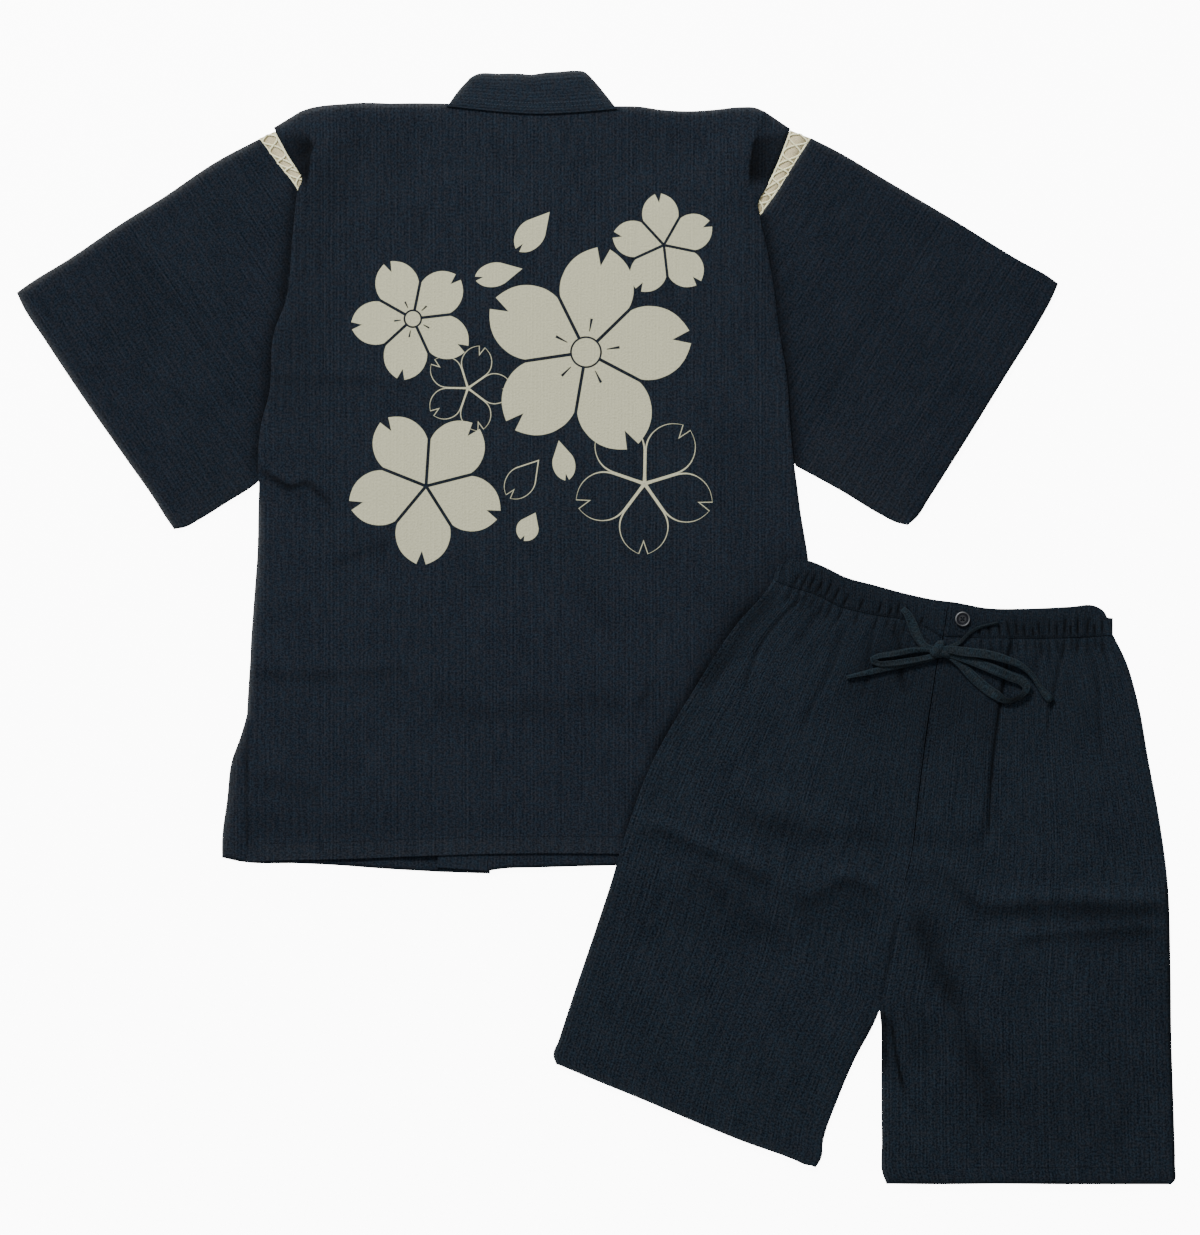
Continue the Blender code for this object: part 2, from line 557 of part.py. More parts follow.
def ring_stations():
    """Stations round a flattened tube, over its top and back below: shares of its depth and its height."""
    out = (1 - np.cos(RING_TURNS)) * SLEEVE_ROLL / SLEEVE_DEPTH
    roll = SLEEVE_ROLL / SLEEVE_DEPTH
    up = np.sin(RING_TURNS)
    over = np.concatenate([out, [roll], SLEEVE_FLATS, [1 - roll], 1 - out[::-1]])
    lift = np.concatenate([up, np.ones(len(SLEEVE_FLATS) + 2), up[::-1]])
    return (
        np.concatenate([over, over[-2:0:-1], over[:1]]),
        np.concatenate([lift, -lift[-2:0:-1], lift[:1]]),
    )


def sleeve(name, fold, under, cuff, armhole):
    """A flattened tube from its cuff to the armhole."""
    along = np.linspace(0, 1, 9)
    around, lift = ring_stations()
    plan = plain(cuff[::-1], armhole[::-1], under, fold, along, 1 - around).transpose(1, 0, 2)
    upper = lift > 0.95
    puff = SLEEVE_PUFF * np.outer(np.sin(math.pi * (0.1 + 0.89 * along)), np.sin(math.pi * around) * upper)
    centre, half = (SLEEVE_HIGH + SLEEVE_LOW) / 2, (SLEEVE_HIGH - SLEEVE_LOW) / 2
    cloth(name, flat(plan, centre + lift * half + puff), "sleeve", tube=True)


def lace_faces(long, opened):
    """The faces of a lace strip, as (along, share across): crossing cords between selvedges, then plain."""
    low, high, knot = LACE_SELVEDGE, 1 - LACE_SELVEDGE, 0.1
    foot, waist = LACE_CORD * 2.2, LACE_CORD * 1.5
    cells = round((opened - LACE_END) / LACE_PITCH)
    faces = [[(0, 0), (LACE_END, 0), (LACE_END, low), (LACE_END, high), (LACE_END, 1), (0, 1)]]
    for k in range(cells):
        start = LACE_END + k * LACE_PITCH
        end, centre = start + LACE_PITCH, start + LACE_PITCH / 2
        for rail, edge, turn in ((low, 0, 1), (high, 1, -1)):
            hub = 0.5 - turn * knot
            faces.append([(start, rail), (start + foot, rail), (centre, hub), (centre - waist, 0.5)])
            faces.append([(end, rail), (end - foot, rail), (centre, hub), (centre + waist, 0.5)])
            for a, b in ((start, start + foot), (start + foot, end - foot), (end - foot, end)):
                faces.append([(a, edge), (b, edge), (b, rail), (a, rail)])
        hub = [(centre - waist, 0.5), (centre, 0.5 - knot), (centre + waist, 0.5), (centre, 0.5 + knot)]
        faces.append(hub)
    end = LACE_END + cells * LACE_PITCH
    after = end + 6
    faces.append([(end, 0), (after, 0), (after, 1), (end, 1), (end, high), (end, low)])
    stations = np.linspace(after, long, 10)
    for a, b in zip(stations[:-1], stations[1:]):
        faces.append([(a, 0), (b, 0), (b, 1), (a, 1)])
    return faces


def lace(name, table, opened, height):
    """A strip between the sleeve and the body, open work where it shows and plain under the fold."""
    rows = np.array(table, float)
    steps = np.linalg.norm(np.diff(rows[:, :2] + rows[:, 2:], axis=0), axis=1) / 2
    long = steps.sum()
    bm = bmesh.new()
    made = {}
    for face in lace_faces(long, opened):
        for along, across in face:
            spot = (round(along, 4), round(across, 4))
            if spot not in made:
                ends = through(rows, np.array([along / long]))[0]
                x, y = ends[:2] * (1 - across) + ends[2:] * across
                made[spot] = bm.verts.new((x * MM, y * MM, height * MM))
        bm.faces.new([made[round(a, 4), round(b, 4)] for a, b in face])
    bmesh.ops.recalc_face_normals(bm, faces=bm.faces)
    mesh = bpy.data.meshes.new(name)
    bm.to_mesh(mesh)
    bm.free()
    thicken(finish(name, mesh, "lace"), TAPE)


def strip(name, route, width, height, colour, count):
    """A flat tape along a route; height gives the middle of its wall at the points of its grid."""
    line = through(route, np.linspace(0, 1, count))
    slope = np.gradient(line[:, :2], axis=0)
    slope /= np.linalg.norm(slope, axis=1)[:, None]
    aside = np.stack([-slope[:, 1], slope[:, 0]], axis=-1)
    plan = line[:, None, :2] + aside[:, None] * (np.array([-0.5, 0.5]) * width)[:, None]
    cloth(name, flat(plan, height(plan[..., 0], plan[..., 1], line)), colour, thickness=TAPE)


def ties():
    for name, (route, floor) in TIES.items():
        middle = floor + TAPE / 2
        strip(name, route, TIE_WIDTH, lambda x, y, line, z=middle: z, "jacket", 3 * len(route) - 2)


def jacket():
    back_panel()
    front_panels()
    neckband_fronts()
    collar()
    sleeve("sleeve_left", SLEEVE_LEFT_FOLD, SLEEVE_LEFT_UNDER, SLEEVE_LEFT_CUFF, SLEEVE_LEFT_ARMHOLE)
    sleeve("sleeve_right", SLEEVE_RIGHT_FOLD, SLEEVE_RIGHT_UNDER, SLEEVE_RIGHT_CUFF, SLEEVE_RIGHT_ARMHOLE)
    for side, table in (("left", LACE_LEFT), ("right", LACE_RIGHT)):
        lace(f"lace_{side}_upper", table, LACE_OPEN[side], LACE_HIGH)
        lace(f"lace_{side}_lower", table, LACE_OPEN[side], TAPE / 2)
    ties()


# ---------------------------------------------------------------- the shorts


def inward(edge, other):
    """The fold line beside a rolled edge."""
    way = other - edge
    return edge + way / np.linalg.norm(way, axis=1)[:, None] * ROLL


def casing_halves(rise=0.0):
    """The casing's line to the right and to the left of the fly."""
    steps = np.linalg.norm(np.diff(np.array(CASING, float), axis=0), axis=1)
    fly = steps[: CASING.index(CENTRE[-1])].sum() / steps.sum()
    halves = through(CASING, np.linspace(0, fly, 24)), through(CASING, np.linspace(fly, 1, 24))
    return [half + (0, rise) for half in halves]


def gathers(below, inner, depth=GATHER_DEPTH):
    """The ripples of the gathered waist, for rows so far below it: each runs out at its own depth."""
    column = np.arange(inner + 1)
    reach = GATHER_REACH * (0.45 + 0.55 * np.sin(1.7 * column) ** 2)
    deep = depth * (0.65 + 0.35 * np.sin(2.3 * column + 1)) * (-1.0) ** column
    return np.pad(deep * smooth(1 - below[:, None] / reach), ((0, 0), (4, 4)))


def calm(x, y):
    """Where the gathers lie: not at the fly."""
    return smooth((np.abs(x - fly_line(y) - 20) - 32) / 16)


def shorts_panel(name, left, right, bottom, top, along, inner, height, rolls, ripple, **wall):
    """A panel of the shorts; rolls says how far its two edges roll over to the parting in each row."""
    edge_left, edge_right = through(left, along), through(right, along)
    fold_left, fold_right = inward(edge_left, edge_right), inward(edge_right, edge_left)
    plan, lift = sewn(edge_left, fold_left, fold_right, edge_right, inner, top, bottom, along)
    x, y = plan[..., 0], plan[..., 1]
    level, parting = height(x, y)
    level = level + ripple * calm(x, y)
    half = np.arange(x.shape[1]) < x.shape[1] / 2
    rolled = np.where(half, rolls[0][:, None], rolls[1][:, None])
    level = level + (parting - level) * rolled * (1 - lift)
    cloth(name, flat(plan, level), "shorts", **wall)


def front_level(x, y):
    """The right front's height, and where its rolled edges end."""
    return shorts_front(x, y), shorts_floor(x, y) + PARTING + SEAM / 2 + 0.25 * waist_lift(x, y)


def fly_level(x, y):
    """The left front's: it stands up over the fly's underlap."""
    level, parting = front_level(x, y)
    return level + fly_rise(x, y), parting


def back_level(x, y):
    return shorts_floor(x, y) + CLOTH / 2, shorts_floor(x, y) + PARTING - SEAM / 2


def waist_back_level(x, y):
    return shorts_floor(x, y) + WAIST / 2 + 0.3, shorts_floor(x, y) + PARTING - SEAM / 2


def legs():
    stations = hem_stations(LEG) + LEG_STATIONS
    along, few = np.array(stations), np.array(stations[:3] + LEG_STATIONS[1::2])
    shift = np.array(CENTRE_GAP)[:, None] * (1, 0)
    inner_right = INSEAM_RIGHT + CENTRE
    inner_left = INSEAM_LEFT + [tuple(p) for p in np.array(CENTRE, float) + shift]
    casing_right, casing_left = casing_halves()
    inner = 2 * LEG_GATHERS
    for side, left, right, hem, casing, level, back_along, back_inner in (
        ("right", OUTER_RIGHT, inner_right, HEM_RIGHT, casing_right, front_level, along, inner),
        ("left", inner_left, OUTER_LEFT, HEM_LEFT, casing_left, fly_level, few, 5),
    ):
        rolls = [smooth((CROTCH_SHARE - rows) / 0.04) for rows in (along, back_along)]
        whole = [np.ones_like(rows) for rows in (along, back_along)]
        ends = [(w, r) if side == "right" else (r, w) for w, r in zip(whole, rolls)]
        lines = left, right, hem, casing
        shorts_panel(
            f"leg_{side}_front", *lines, along, inner, level, ends[0], gathers((1 - along) * LEG, inner),
            hem=hem_shares(along, inner + 9, LEG),
        )
        shorts_panel(f"leg_{side}_back", *lines, back_along, back_inner, back_level, ends[1], 0)


def waistbands():
    along = np.array([0, 0.15, 0.5, 0.85, 1])
    whole, none = np.ones(5), np.zeros(5)
    inner = 2 * GATHERS
    ripple = gathers(np.zeros(5), inner)
    casing_right, casing_left = casing_halves(rise=2 * SEAM)
    fly = [casing_right[-1], FLY_TOP]
    side_right, side_left = [casing_right[0], WAIST_TOP_RIGHT[0]], [casing_left[-1], WAIST_TOP_LEFT[-1]]
    shorts_panel("waistband_front_right", side_right, fly, casing_right, WAIST_TOP_RIGHT, along, inner,
                 front_level, (whole, none), ripple, thickness=WAIST)
    beside_fly = [(x + 0.8, y) for x, y in fly]
    shorts_panel("waistband_front_left", beside_fly, side_left, casing_left, WAIST_TOP_LEFT, along, inner,
                 fly_level, (none, whole), ripple, thickness=WAIST)
    few = along[::2]
    side_right, side_left = [casing_right[0], WAIST_TOP_BACK[0]], [casing_left[-1], WAIST_TOP_BACK[-1]]
    shorts_panel("waistband_back", side_right, side_left, np.array(CASING, float) + (0, 3 * SEAM),
                 WAIST_TOP_BACK, few, inner, waist_back_level, (whole[::2], whole[::2]),
                 gathers(np.zeros(3), inner, depth=0.25), thickness=WAIST)


def underlap():
    """The strip behind the fly's opening, from the crotch to the top of the waistband."""
    along, across = np.linspace(0, 1, 10), np.linspace(0, 1, 4)
    y = UNDERLAP_FOOT + along * (FLY_TOP[1] - 3 - UNDERLAP_FOOT)
    left = fly_line(y) + 0.8
    plan = np.stack([left[:, None] + across * UNDERLAP, np.repeat(y[:, None], 4, axis=1)], axis=-1)
    cloth("fly_underlap", flat(plan, shorts_front(plan[..., 0], plan[..., 1])), "shorts", thickness=TAPE)


def string_height(x, y, line):
    over = WAIST / 2 + GATHER_DEPTH * calm(x, y) + SEAM + TAPE / 2
    return shorts_front(x, y) + fly_rise(x, y, lead=12.0) + over + line[:, None, 2]


def drawstring():
    for name, route in STRINGS.items():
        strip(name, route, STRING_WIDTH, string_height, "shorts", 4 + 2 * len(route))
    bm = bmesh.new()
    bmesh.ops.create_uvsphere(bm, u_segments=14, v_segments=8, radius=1)
    x, y = KNOT_AT
    floor = float(string_height(np.array(x), np.array(y), np.zeros((1, 3)))[0, 0]) - TAPE / 2
    for vert in bm.verts:
        across, up, high = vert.co
        pinch = 1 - 0.16 * math.exp(-((across / 0.35) ** 2))
        high = max(high, -KNOT_FLAT)
        vert.co = (
            (x + across * KNOT_ACROSS[0] / 2) * MM,
            (y + up * pinch * KNOT_ACROSS[1] / 2) * MM,
            (floor + (high + KNOT_FLAT) / (1 + KNOT_FLAT) * KNOT_HEIGHT) * MM,
        )
    mesh = bpy.data.meshes.new("drawstring_knot")
    bm.to_mesh(mesh)
    bm.free()
    finish("drawstring_knot", mesh, "shorts")


def button():
    """A round button with a raised rim, a dished middle and four holes."""
    radius = BUTTON_ACROSS / 2
    profile = [(0, 0), (radius - 1.2, 0), (radius, 0.9), (radius - 0.1, 1.9), (radius - 0.8, 2.5),
               (radius - 1.6, 2.3), (radius - 2.4, 1.5), (0, 1.3)]
    x, y = BUTTON_AT
    spot = np.array([[float(x)]]), np.array([[float(y)]])
    floor = float((shorts_front(*spot) + fly_rise(*spot))[0, 0]) + WAIST / 2 + SEAM + 0.2
    bm = bmesh.new()
    verts = [bm.verts.new((r * MM, 0, h * MM)) for r, h in profile]
    edges = [bm.edges.new(pair) for pair in zip(verts[:-1], verts[1:])]
    bmesh.ops.spin(bm, geom=verts + edges, cent=(0, 0, 0), axis=(0, 0, 1), angle=math.tau, steps=20,
                   use_merge=True)
    bmesh.ops.remove_doubles(bm, verts=bm.verts, dist=0.00001)
    bmesh.ops.recalc_face_normals(bm, faces=bm.faces)
    mesh = bpy.data.meshes.new("button")
    bm.to_mesh(mesh)
    bm.free()
    made = finish("button", mesh, "button", roughness=0.35)
    made.location = (x * MM, y * MM, floor * MM)
    holes = bmesh.new()
    for k in range(4):
        turn = math.pi / 4 + k * math.pi / 2
        drill = bmesh.ops.create_cone(holes, cap_ends=True, segments=8, radius1=BUTTON_HOLE / 2 * MM,
                                      radius2=BUTTON_HOLE / 2 * MM, depth=8 * MM)
        bmesh.ops.translate(holes, verts=drill["verts"],
                            vec=(1.9 * math.cos(turn) * MM, 1.9 * math.sin(turn) * MM, 1 * MM))
    mesh = bpy.data.meshes.new("button_holes")
    holes.to_mesh(mesh)
    holes.free()
    cutter = bpy.data.objects.new("button_holes", mesh)
    bpy.context.collection.objects.link(cutter)
    cutter.location = made.location
    cutter.hide_render = True
    cutter.display_type = "WIRE"
    cut = made.modifiers.new("holes", "BOOLEAN")
    cut.operation = "DIFFERENCE"
    cut.solver = "EXACT"
    cut.object = cutter


def shorts():
    legs()
    waistbands()
    underlap()
    drawstring()
    button()


def main():
    for old in list(bpy.data.objects):
        bpy.data.objects.remove(old, do_unlink=True)
    jacket()
    shorts()


main()
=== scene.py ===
"""Dresses a packed jinbei, laid flat: cloth, print, lace, drawstring, button and sewing, with its stage.

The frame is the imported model's: metres, +X across the jacket, +Y from its hem to its collar and +Z up.
The tables below are in millimetres; MM turns them into metres. Left and right are the wearer's.
"""

import json
import math

import bmesh
import bpy
import numpy as np
from bpy.props import FloatProperty, FloatVectorProperty, PointerProperty
from mathutils import Matrix, Vector
from mathutils.bvhtree import BVHTree

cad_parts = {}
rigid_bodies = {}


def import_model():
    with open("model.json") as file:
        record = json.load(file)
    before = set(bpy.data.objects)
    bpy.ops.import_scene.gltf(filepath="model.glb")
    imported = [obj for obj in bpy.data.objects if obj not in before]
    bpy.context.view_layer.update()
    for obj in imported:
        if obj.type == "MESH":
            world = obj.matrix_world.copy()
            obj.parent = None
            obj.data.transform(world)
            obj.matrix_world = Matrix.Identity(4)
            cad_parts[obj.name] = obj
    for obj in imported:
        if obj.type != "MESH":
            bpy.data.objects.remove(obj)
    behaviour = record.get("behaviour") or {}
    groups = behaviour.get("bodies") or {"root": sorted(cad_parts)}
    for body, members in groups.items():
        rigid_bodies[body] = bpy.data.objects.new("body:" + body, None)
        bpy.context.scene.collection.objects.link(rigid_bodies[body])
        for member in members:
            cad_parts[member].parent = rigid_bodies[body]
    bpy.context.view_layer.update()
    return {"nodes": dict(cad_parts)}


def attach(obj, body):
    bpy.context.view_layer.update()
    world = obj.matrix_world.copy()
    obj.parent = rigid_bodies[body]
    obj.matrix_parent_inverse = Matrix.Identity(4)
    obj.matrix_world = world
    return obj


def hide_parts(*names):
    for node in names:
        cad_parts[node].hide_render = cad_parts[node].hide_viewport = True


bl_info = {
    "name": "Jinbei laid flat",
    "version": (1, 0, 0),
    "blender": (4, 5, 0),
    "location": "View3D > Sidebar > Jinbei",
    "description": "Cloth, print, lace and sewing for a jinbei jacket and its shorts, laid flat",
    "category": "Add Mesh",
}

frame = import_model()

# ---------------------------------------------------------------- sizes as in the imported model, in mm

MM = 0.001

# Cloth
CLOTH = 1.2  # the wall of every cloth piece
HEM_DEPTH = 19.0
BAND = 1.4  # the neckband along the fronts
COLLAR = 2.4  # the neckband behind the neck, folded double
WAIST = 1.8  # the waistband over its elastic
TAPE = 1.0  # ties, drawstring and lace
SEAM = 0.3  # the parting between neighbouring pieces

# Layers, as the height of the middle of a wall
LOFT = 2.7  # the back panel over one layer of front
NECK_DIP = 0.6  # how far it comes down where the collar lies on it
STEP = 2.0  # how far the right front steps up to lie over the left one
SLEEVE_LOW = CLOTH / 2
SLEEVE_HIGH = 2.8
SLEEVE_PUFF = 0.9
LACE_HIGH = 2.6
RIM_ON_FRONT = 1.5  # where a rolled edge of the back panel ends, over the front's edge
JACKET_TOP = 6.2  # where the shorts begin to lie over the jacket
SHORTS_LOFT = 2.7  # between the back and the front of a leg
LEG_OVERLAP = 1.2  # of the left leg over the right one below the crotch
FLY_OVERLAP = -0.9  # above it the fronts leave a slit along the fly
FINER = 1.45  # how much closer the mesh of the shorts' fronts is
PARTING = 2.1  # the height, over what the shorts lie on, at which the back and front of a leg meet
WAIST_LIFT = 1.6  # how much higher the front stands at the gathered waist
RAMP = 80.0  # how far from the jacket's edge the shorts come down to the floor
ROLL = 5.0  # the width of a rolled edge
CORNER = 14.0  # how far from a corner a hem's line bends to meet the fold beside the edge

# Fly, drawstring and button
FLY_RISE = 1.9
FLY_FOOT = -222.0  # where the fly's rise ends
FLY_PLEAT = 66.0  # from the fly's edge to the pleat beside it
UNDERLAP = 34.0
UNDERLAP_FOOT = -194.0
TIE_WIDTH = 12.0
BUTTON_ACROSS = 15.0
BUTTON_HOLE = 1.8
BUTTON_HOLE_AT = 1.34  # across and up from the middle
GATHER_DEPTH = 0.9

# The back panel, a row for each section: the outline's left edge, the fold beside it, the right fold and
# edge. Above the underarm the edge is the armhole and the fold lies inside it, over the sleeve.
BACK_COLUMNS = ("key", "edge_x", "edge_y", "fold_x", "fold_y", "rim", "crest")
BACK_LEFT = [
    (500, -322, 500, -296, 516, 2.4, 3.6),
    (484, -314, 483, -283, 487, 2.4, 5.2),
    (467, -303.5, 466, -286, 470, 2.5, 6.2),
    (460, -299, 459, -287, 461, 3.9, 6.6),
    (453, -294, 451, -288, 451, 4.0, 6.6),
    (438, -297.5, 438, -291.5, 438, 4.0, 6.6),
    (390, -303, 390, -297, 390, 4.0, 6.6),
    (323, -311, 323, -305, 323, 4.0, 6.6),
    (300, -320, 300, -314, 300, 4.0, 6.6),
    (231, -327, 231, -321, 231, 4.0, 6.6),
    (205, -334, 205, -328, 205, 4.0, 6.4),
    (165, -337.5, 165, -331.5, 165, 4.0, 6.0),
    (143, -336.5, 143, -331, 143, 4.0, 5.6),
    (128, -337, 128, -332, 128, 3.4, 5.0),
    (108, -337.5, 108, -332, 108, 1.5, 4.4),
    (68, -338, 68, -333, 68, 1.5, 4.2),
    (-12, -344, -12, -339, -12, 1.5, 4.2),
    (-94, -349, -94, -344, -94, 1.5, 4.2),
    (-162, -350, -162, -345, -162, 1.8, 4.2),
    (-234, -349, -234, -344, -234, 2.4, 3.9),
]
BACK_RIGHT = [
    (500, 194, 499, 169, 516, 2.4, 3.6),
    (484, 189.5, 483, 157, 485, 2.4, 5.2),
    (460, 180, 460, 154, 460, 2.5, 6.0),
    (445, 173, 445, 154, 445, 2.5, 6.4),
    (437, 168.5, 437, 155, 437, 3.9, 6.6),
    (426, 162, 426, 155, 426, 4.0, 6.6),
    (411, 164, 411, 158, 411, 4.0, 6.6),
    (378, 171, 378, 165, 378, 4.0, 6.6),
    (345, 177, 345, 171, 345, 4.0, 6.6),
    (297, 183, 297, 177, 297, 4.0, 6.6),
    (256, 190, 256, 184, 256, 4.0, 6.6),
    (192, 195, 192, 189, 192, 4.0, 6.4),
    (163, 198, 163, 192, 163, 4.0, 6.0),
    (141, 201, 141, 195, 141, 3.6, 5.0),
    (118, 204, 118, 199, 118, 1.5, 5.0),
    (68, 212, 68, 207, 68, 1.5, 5.0),
    (-12, 216, -12, 211, -12, 1.5, 5.0),
    (-94, 219, -94, 214, -94, 1.5, 5.0),
    (-162, 222, -162, 217, -162, 1.8, 5.0),
    (-234, 224, -234, 219, -234, 2.4, 3.9),
]
SHOULDERS = [(-296, 516), (-286, 519.5), (-276, 521.5), (-256, 523.5), (-216, 524), (-176, 524.5),
             (-149, 524), (-60, 516), (21, 521.5), (44, 521), (64, 518), (94, 516.5), (119, 518),
             (144, 520.5), (159, 520), (169, 516)]
BACK_HEM = [(-344, -233), (-246, -231), (-156, -227.5), (-106, -226), (24, -226), (104, -228), (219, -232)]
BACK_LENGTH = 732.0
NECK = (-149, 21)  # the neck points, between which the neckband is sewn on

# The fronts: the side seam from the hem up to the underarm, and the seam of the neckband; the lace bounds
# their armholes
FRONT_LEFT_SIDE = [(-374, -229.5), (-374, -212), (-369, -172), (-364, -132), (-356, -110), (-350, -90),
                   (-345, -12), (-339, 68), (-336, 108)]
FRONT_LEFT_SEAM = [(-156, -244), (-155, -215), (-142, -152), (-118, -12), (-103, 148), (-100, 293),
                   (-118, 423), (-147, 521)]
FRONT_LEFT_HEM = [(-374, -229.5), (-356, -233.5), (-296, -235.5), (-256, -237.5), (-216, -240.5),
                  (-156, -244)]
FRONT_LEFT_SHOULDER = [(-321, 496), (-300, 511), (-270, 521), (-147, 521)]
FRONT_RIGHT_SIDE = [(223, -236), (221, -162), (218, -94), (215, -12), (210, 68), (203, 118)]
FRONT_RIGHT_SEAM = [(-109, -243), (-107, -215), (-101, -152), (-84, -12), (-66, 148), (-41, 293), (-9, 423),
                    (20, 519)]
FRONT_RIGHT_HEM = [(-109, -243), (-96, -241), (-56, -239.5), (17, -237.5), (223, -236)]
FRONT_RIGHT_SHOULDER = [(20, 519), (63, 516), (94, 514), (117, 516), (158, 517), (193, 496)]
BAND_WIDTH = 50.0
BAND_TOP_LEFT = [(-125, 548), (-90, 552)]
BAND_TOP_RIGHT = [(-40, 552), (-8, 551)]
COLLAR_SEAM = [(-149, 523), (-105, 518.5), (-60, 515.5), (-20, 517), (21, 520.5)]
COLLAR_TOP = [(-126, 549.5), (-120, 553), (-96, 554), (-76, 554), (-66, 553), (-51, 555), (-36, 556),
              (-21, 557), (-12, 556), (-6, 551)]
COLLAR_LEFT = [(-149, 524), (-136, 539), (-126, 549.5)]
COLLAR_RIGHT = [(21, 521.5), (9, 534), (-1, 546), (-6, 551)]

# The sleeves, each a flattened tube: cuff and armhole, from the shoulder fold down to the underarm seam
SLEEVE_LEFT_FOLD = [(-579, 335), (-568, 343), (-527, 368.5), (-470, 407), (-436, 428), (-376, 468),
                    (-336, 489)]
SLEEVE_LEFT_UNDER = [(-422, 99), (-411, 101), (-396, 109), (-368, 126.5), (-342, 143), (-336, 148)]
SLEEVE_LEFT_CUFF = [(-579, 335), (-573, 322), (-551, 288), (-511, 228), (-469, 168), (-441, 128),
                    (-431, 112), (-422, 99)]
SLEEVE_LEFT_ARMHOLE = [(-336, 489), (-317, 463), (-298, 437), (-293, 390), (-293, 323), (-304, 231),
                       (-320, 175), (-336, 148)]
SLEEVE_RIGHT_FOLD = [(462, 344), (454, 350), (422, 368), (357, 408), (289, 448), (238, 478), (215, 489.5)]
SLEEVE_RIGHT_UNDER = [(312, 103), (301, 105.5), (284, 114), (245, 137.5), (227, 147.5), (200, 162)]
SLEEVE_RIGHT_CUFF = [(462, 344), (455, 328), (444, 308), (407, 248), (370, 188), (332, 128), (321, 111),
                     (312, 103)]
SLEEVE_RIGHT_ARMHOLE = [(215, 489.5), (200, 467), (177, 430), (164, 412), (156, 368), (156, 323),
                        (166, 256), (180, 192), (200, 162)]

# The lace let in between sleeve and body: its two edges, sleeve side first
LACE_LEFT = [(-335, 490, -323, 495.5), (-317.5, 465, -305, 464), (-296.5, 438, -285, 441),
             (-291.5, 390, -281.5, 392), (-291.5, 323, -282.5, 323), (-302, 231, -293.5, 230),
             (-318, 177, -309, 171), (-333, 150, -325, 141)]
LACE_RIGHT = [(213.3, 490, 195.5, 497), (199, 467, 184.5, 467), (187, 447, 174.5, 445),
              (163, 413, 156, 418), (154, 368, 146, 370), (153.5, 323, 144, 323), (162.5, 256, 151.5, 249),
              (177, 192, 167, 184), (196.5, 160.5, 189, 149)]

# The ties, tucked in flat: the route of each, and what it lies on
TIES = {
    "tie_outer_left": ([(-56, 62), (20, 58), (92, 44)], 0.0),
    "tie_outer_right": ([(203, 62), (195, 30), (197, -40), (199, -130)], CLOTH + SEAM),
    "tie_inner_left": ([(-329, 62), (-321, 30), (-323, -40), (-327, -130)], CLOTH + SEAM),
    "tie_inner_right": ([(-143, -60), (-210, -64), (-300, -84)], CLOTH + SEAM),
}

# The shorts: the outer edges, hems and casing, and the line from the inseam's top up the crotch to the fly
OUTER_RIGHT = [(-39, -436), (-42, -428), (-37, -412), (-24, -372), (3, -292), (16, -252), (23, -228),
               (59, -129), (98, -62), (142, 5), (171, 38), (178, 47)]
OUTER_LEFT = [(574, -556), (578, -552), (578.5, -540), (577.5, -492), (575, -412), (574, -332), (571, -252),
              (563, -192), (552, -132), (541, -72), (529, -32), (516, -8)]
INSEAM_RIGHT = [(219, -539), (224, -531), (227, -512), (241, -472), (258, -432), (279, -392)]
INSEAM_LEFT = [(291, -555.5), (287, -545), (286, -512), (285.5, -450), (285.5, -400)]
CENTRE = [(285, -377), (291, -345), (302, -284), (309, -252), (315, -227), (322, -170), (331, -99),
          (335, -73), (341, -34), (347, -9)]
HEM_RIGHT = [(-39, -436), (-1, -452), (48, -472), (95, -492), (144, -512), (198, -532), (211, -538),
             (219, -539)]
HEM_LEFT = [(291, -555.5), (340, -556), (400, -555.5), (470, -556), (530, -556), (574, -556)]
CASING = [(178, 47), (193, 41), (221, 32), (245, 20), (261, 16), (280, 12), (306, 8), (329, 0), (347, -9),
          (364, -10), (409, -11), (440, -11), (467, -10.5), (492, -9.5), (516, -8)]
WAIST_TOP_RIGHT = [(180, 57), (189, 66), (197, 67), (211.5, 64.5), (229, 57.5), (248, 48), (278.5, 39.5),
                   (308, 31.5), (341.5, 24.5), (351, 22.5)]
WAIST_TOP_LEFT = [(352, 22.5), (366, 21.5), (391, 16.5), (433, 12.5), (472, 14.5), (494, 15), (506, 13),
                  (513, 7)]
WAIST_TOP_BACK = [(183, 64), (190, 70), (198, 70.5), (212, 68), (229, 61), (248, 51.5), (278.5, 43),
                  (308, 35), (341.5, 28), (358, 26), (391, 20), (431, 19.5), (474, 21.5), (500, 23),
                  (509, 19), (516, 10)]
FLY_TOP = (351, 22.5)
LEG = 540.0  # from the hem to the casing
CROTCH_SHARE = 0.475  # the part of the inner edge that is inseam

# The largest folds: both ends, half width and height
SHORTS_FOLDS = [
    (317, -240, 384, -273, 12, 1.8),
    (384, -273, 570, -276, 12, 2.0),
    (421, -306, 570, -302, 11, 1.3),
    (44, -196, 110, -221, 12, 1.8),
    (110, -221, 193, -260, 12, 1.6),
    (209, -270, 251, -252, 11, 1.2),
    (251, -252, 288, -268, 11, 1.2),
    (310, -280, 342, -331, 12, 1.5),
    (342, -331, 404, -480, 12, 1.2),
]
BACK_FOLDS = [
    (-338, 158, -296, 138, 9, 1.6),
    (-296, 138, -251, 103, 9, 1.2),
    (-326, 252, -246, 250, 10, 0.8),
    (-346, -37, -166, -48, 14, 1.0),
    (44, -72, 64, -52, 9, 0.9),
]

BUTTON_AT = (366, 9)

# ---------------------------------------------------------------- what the scene adds to the tables above

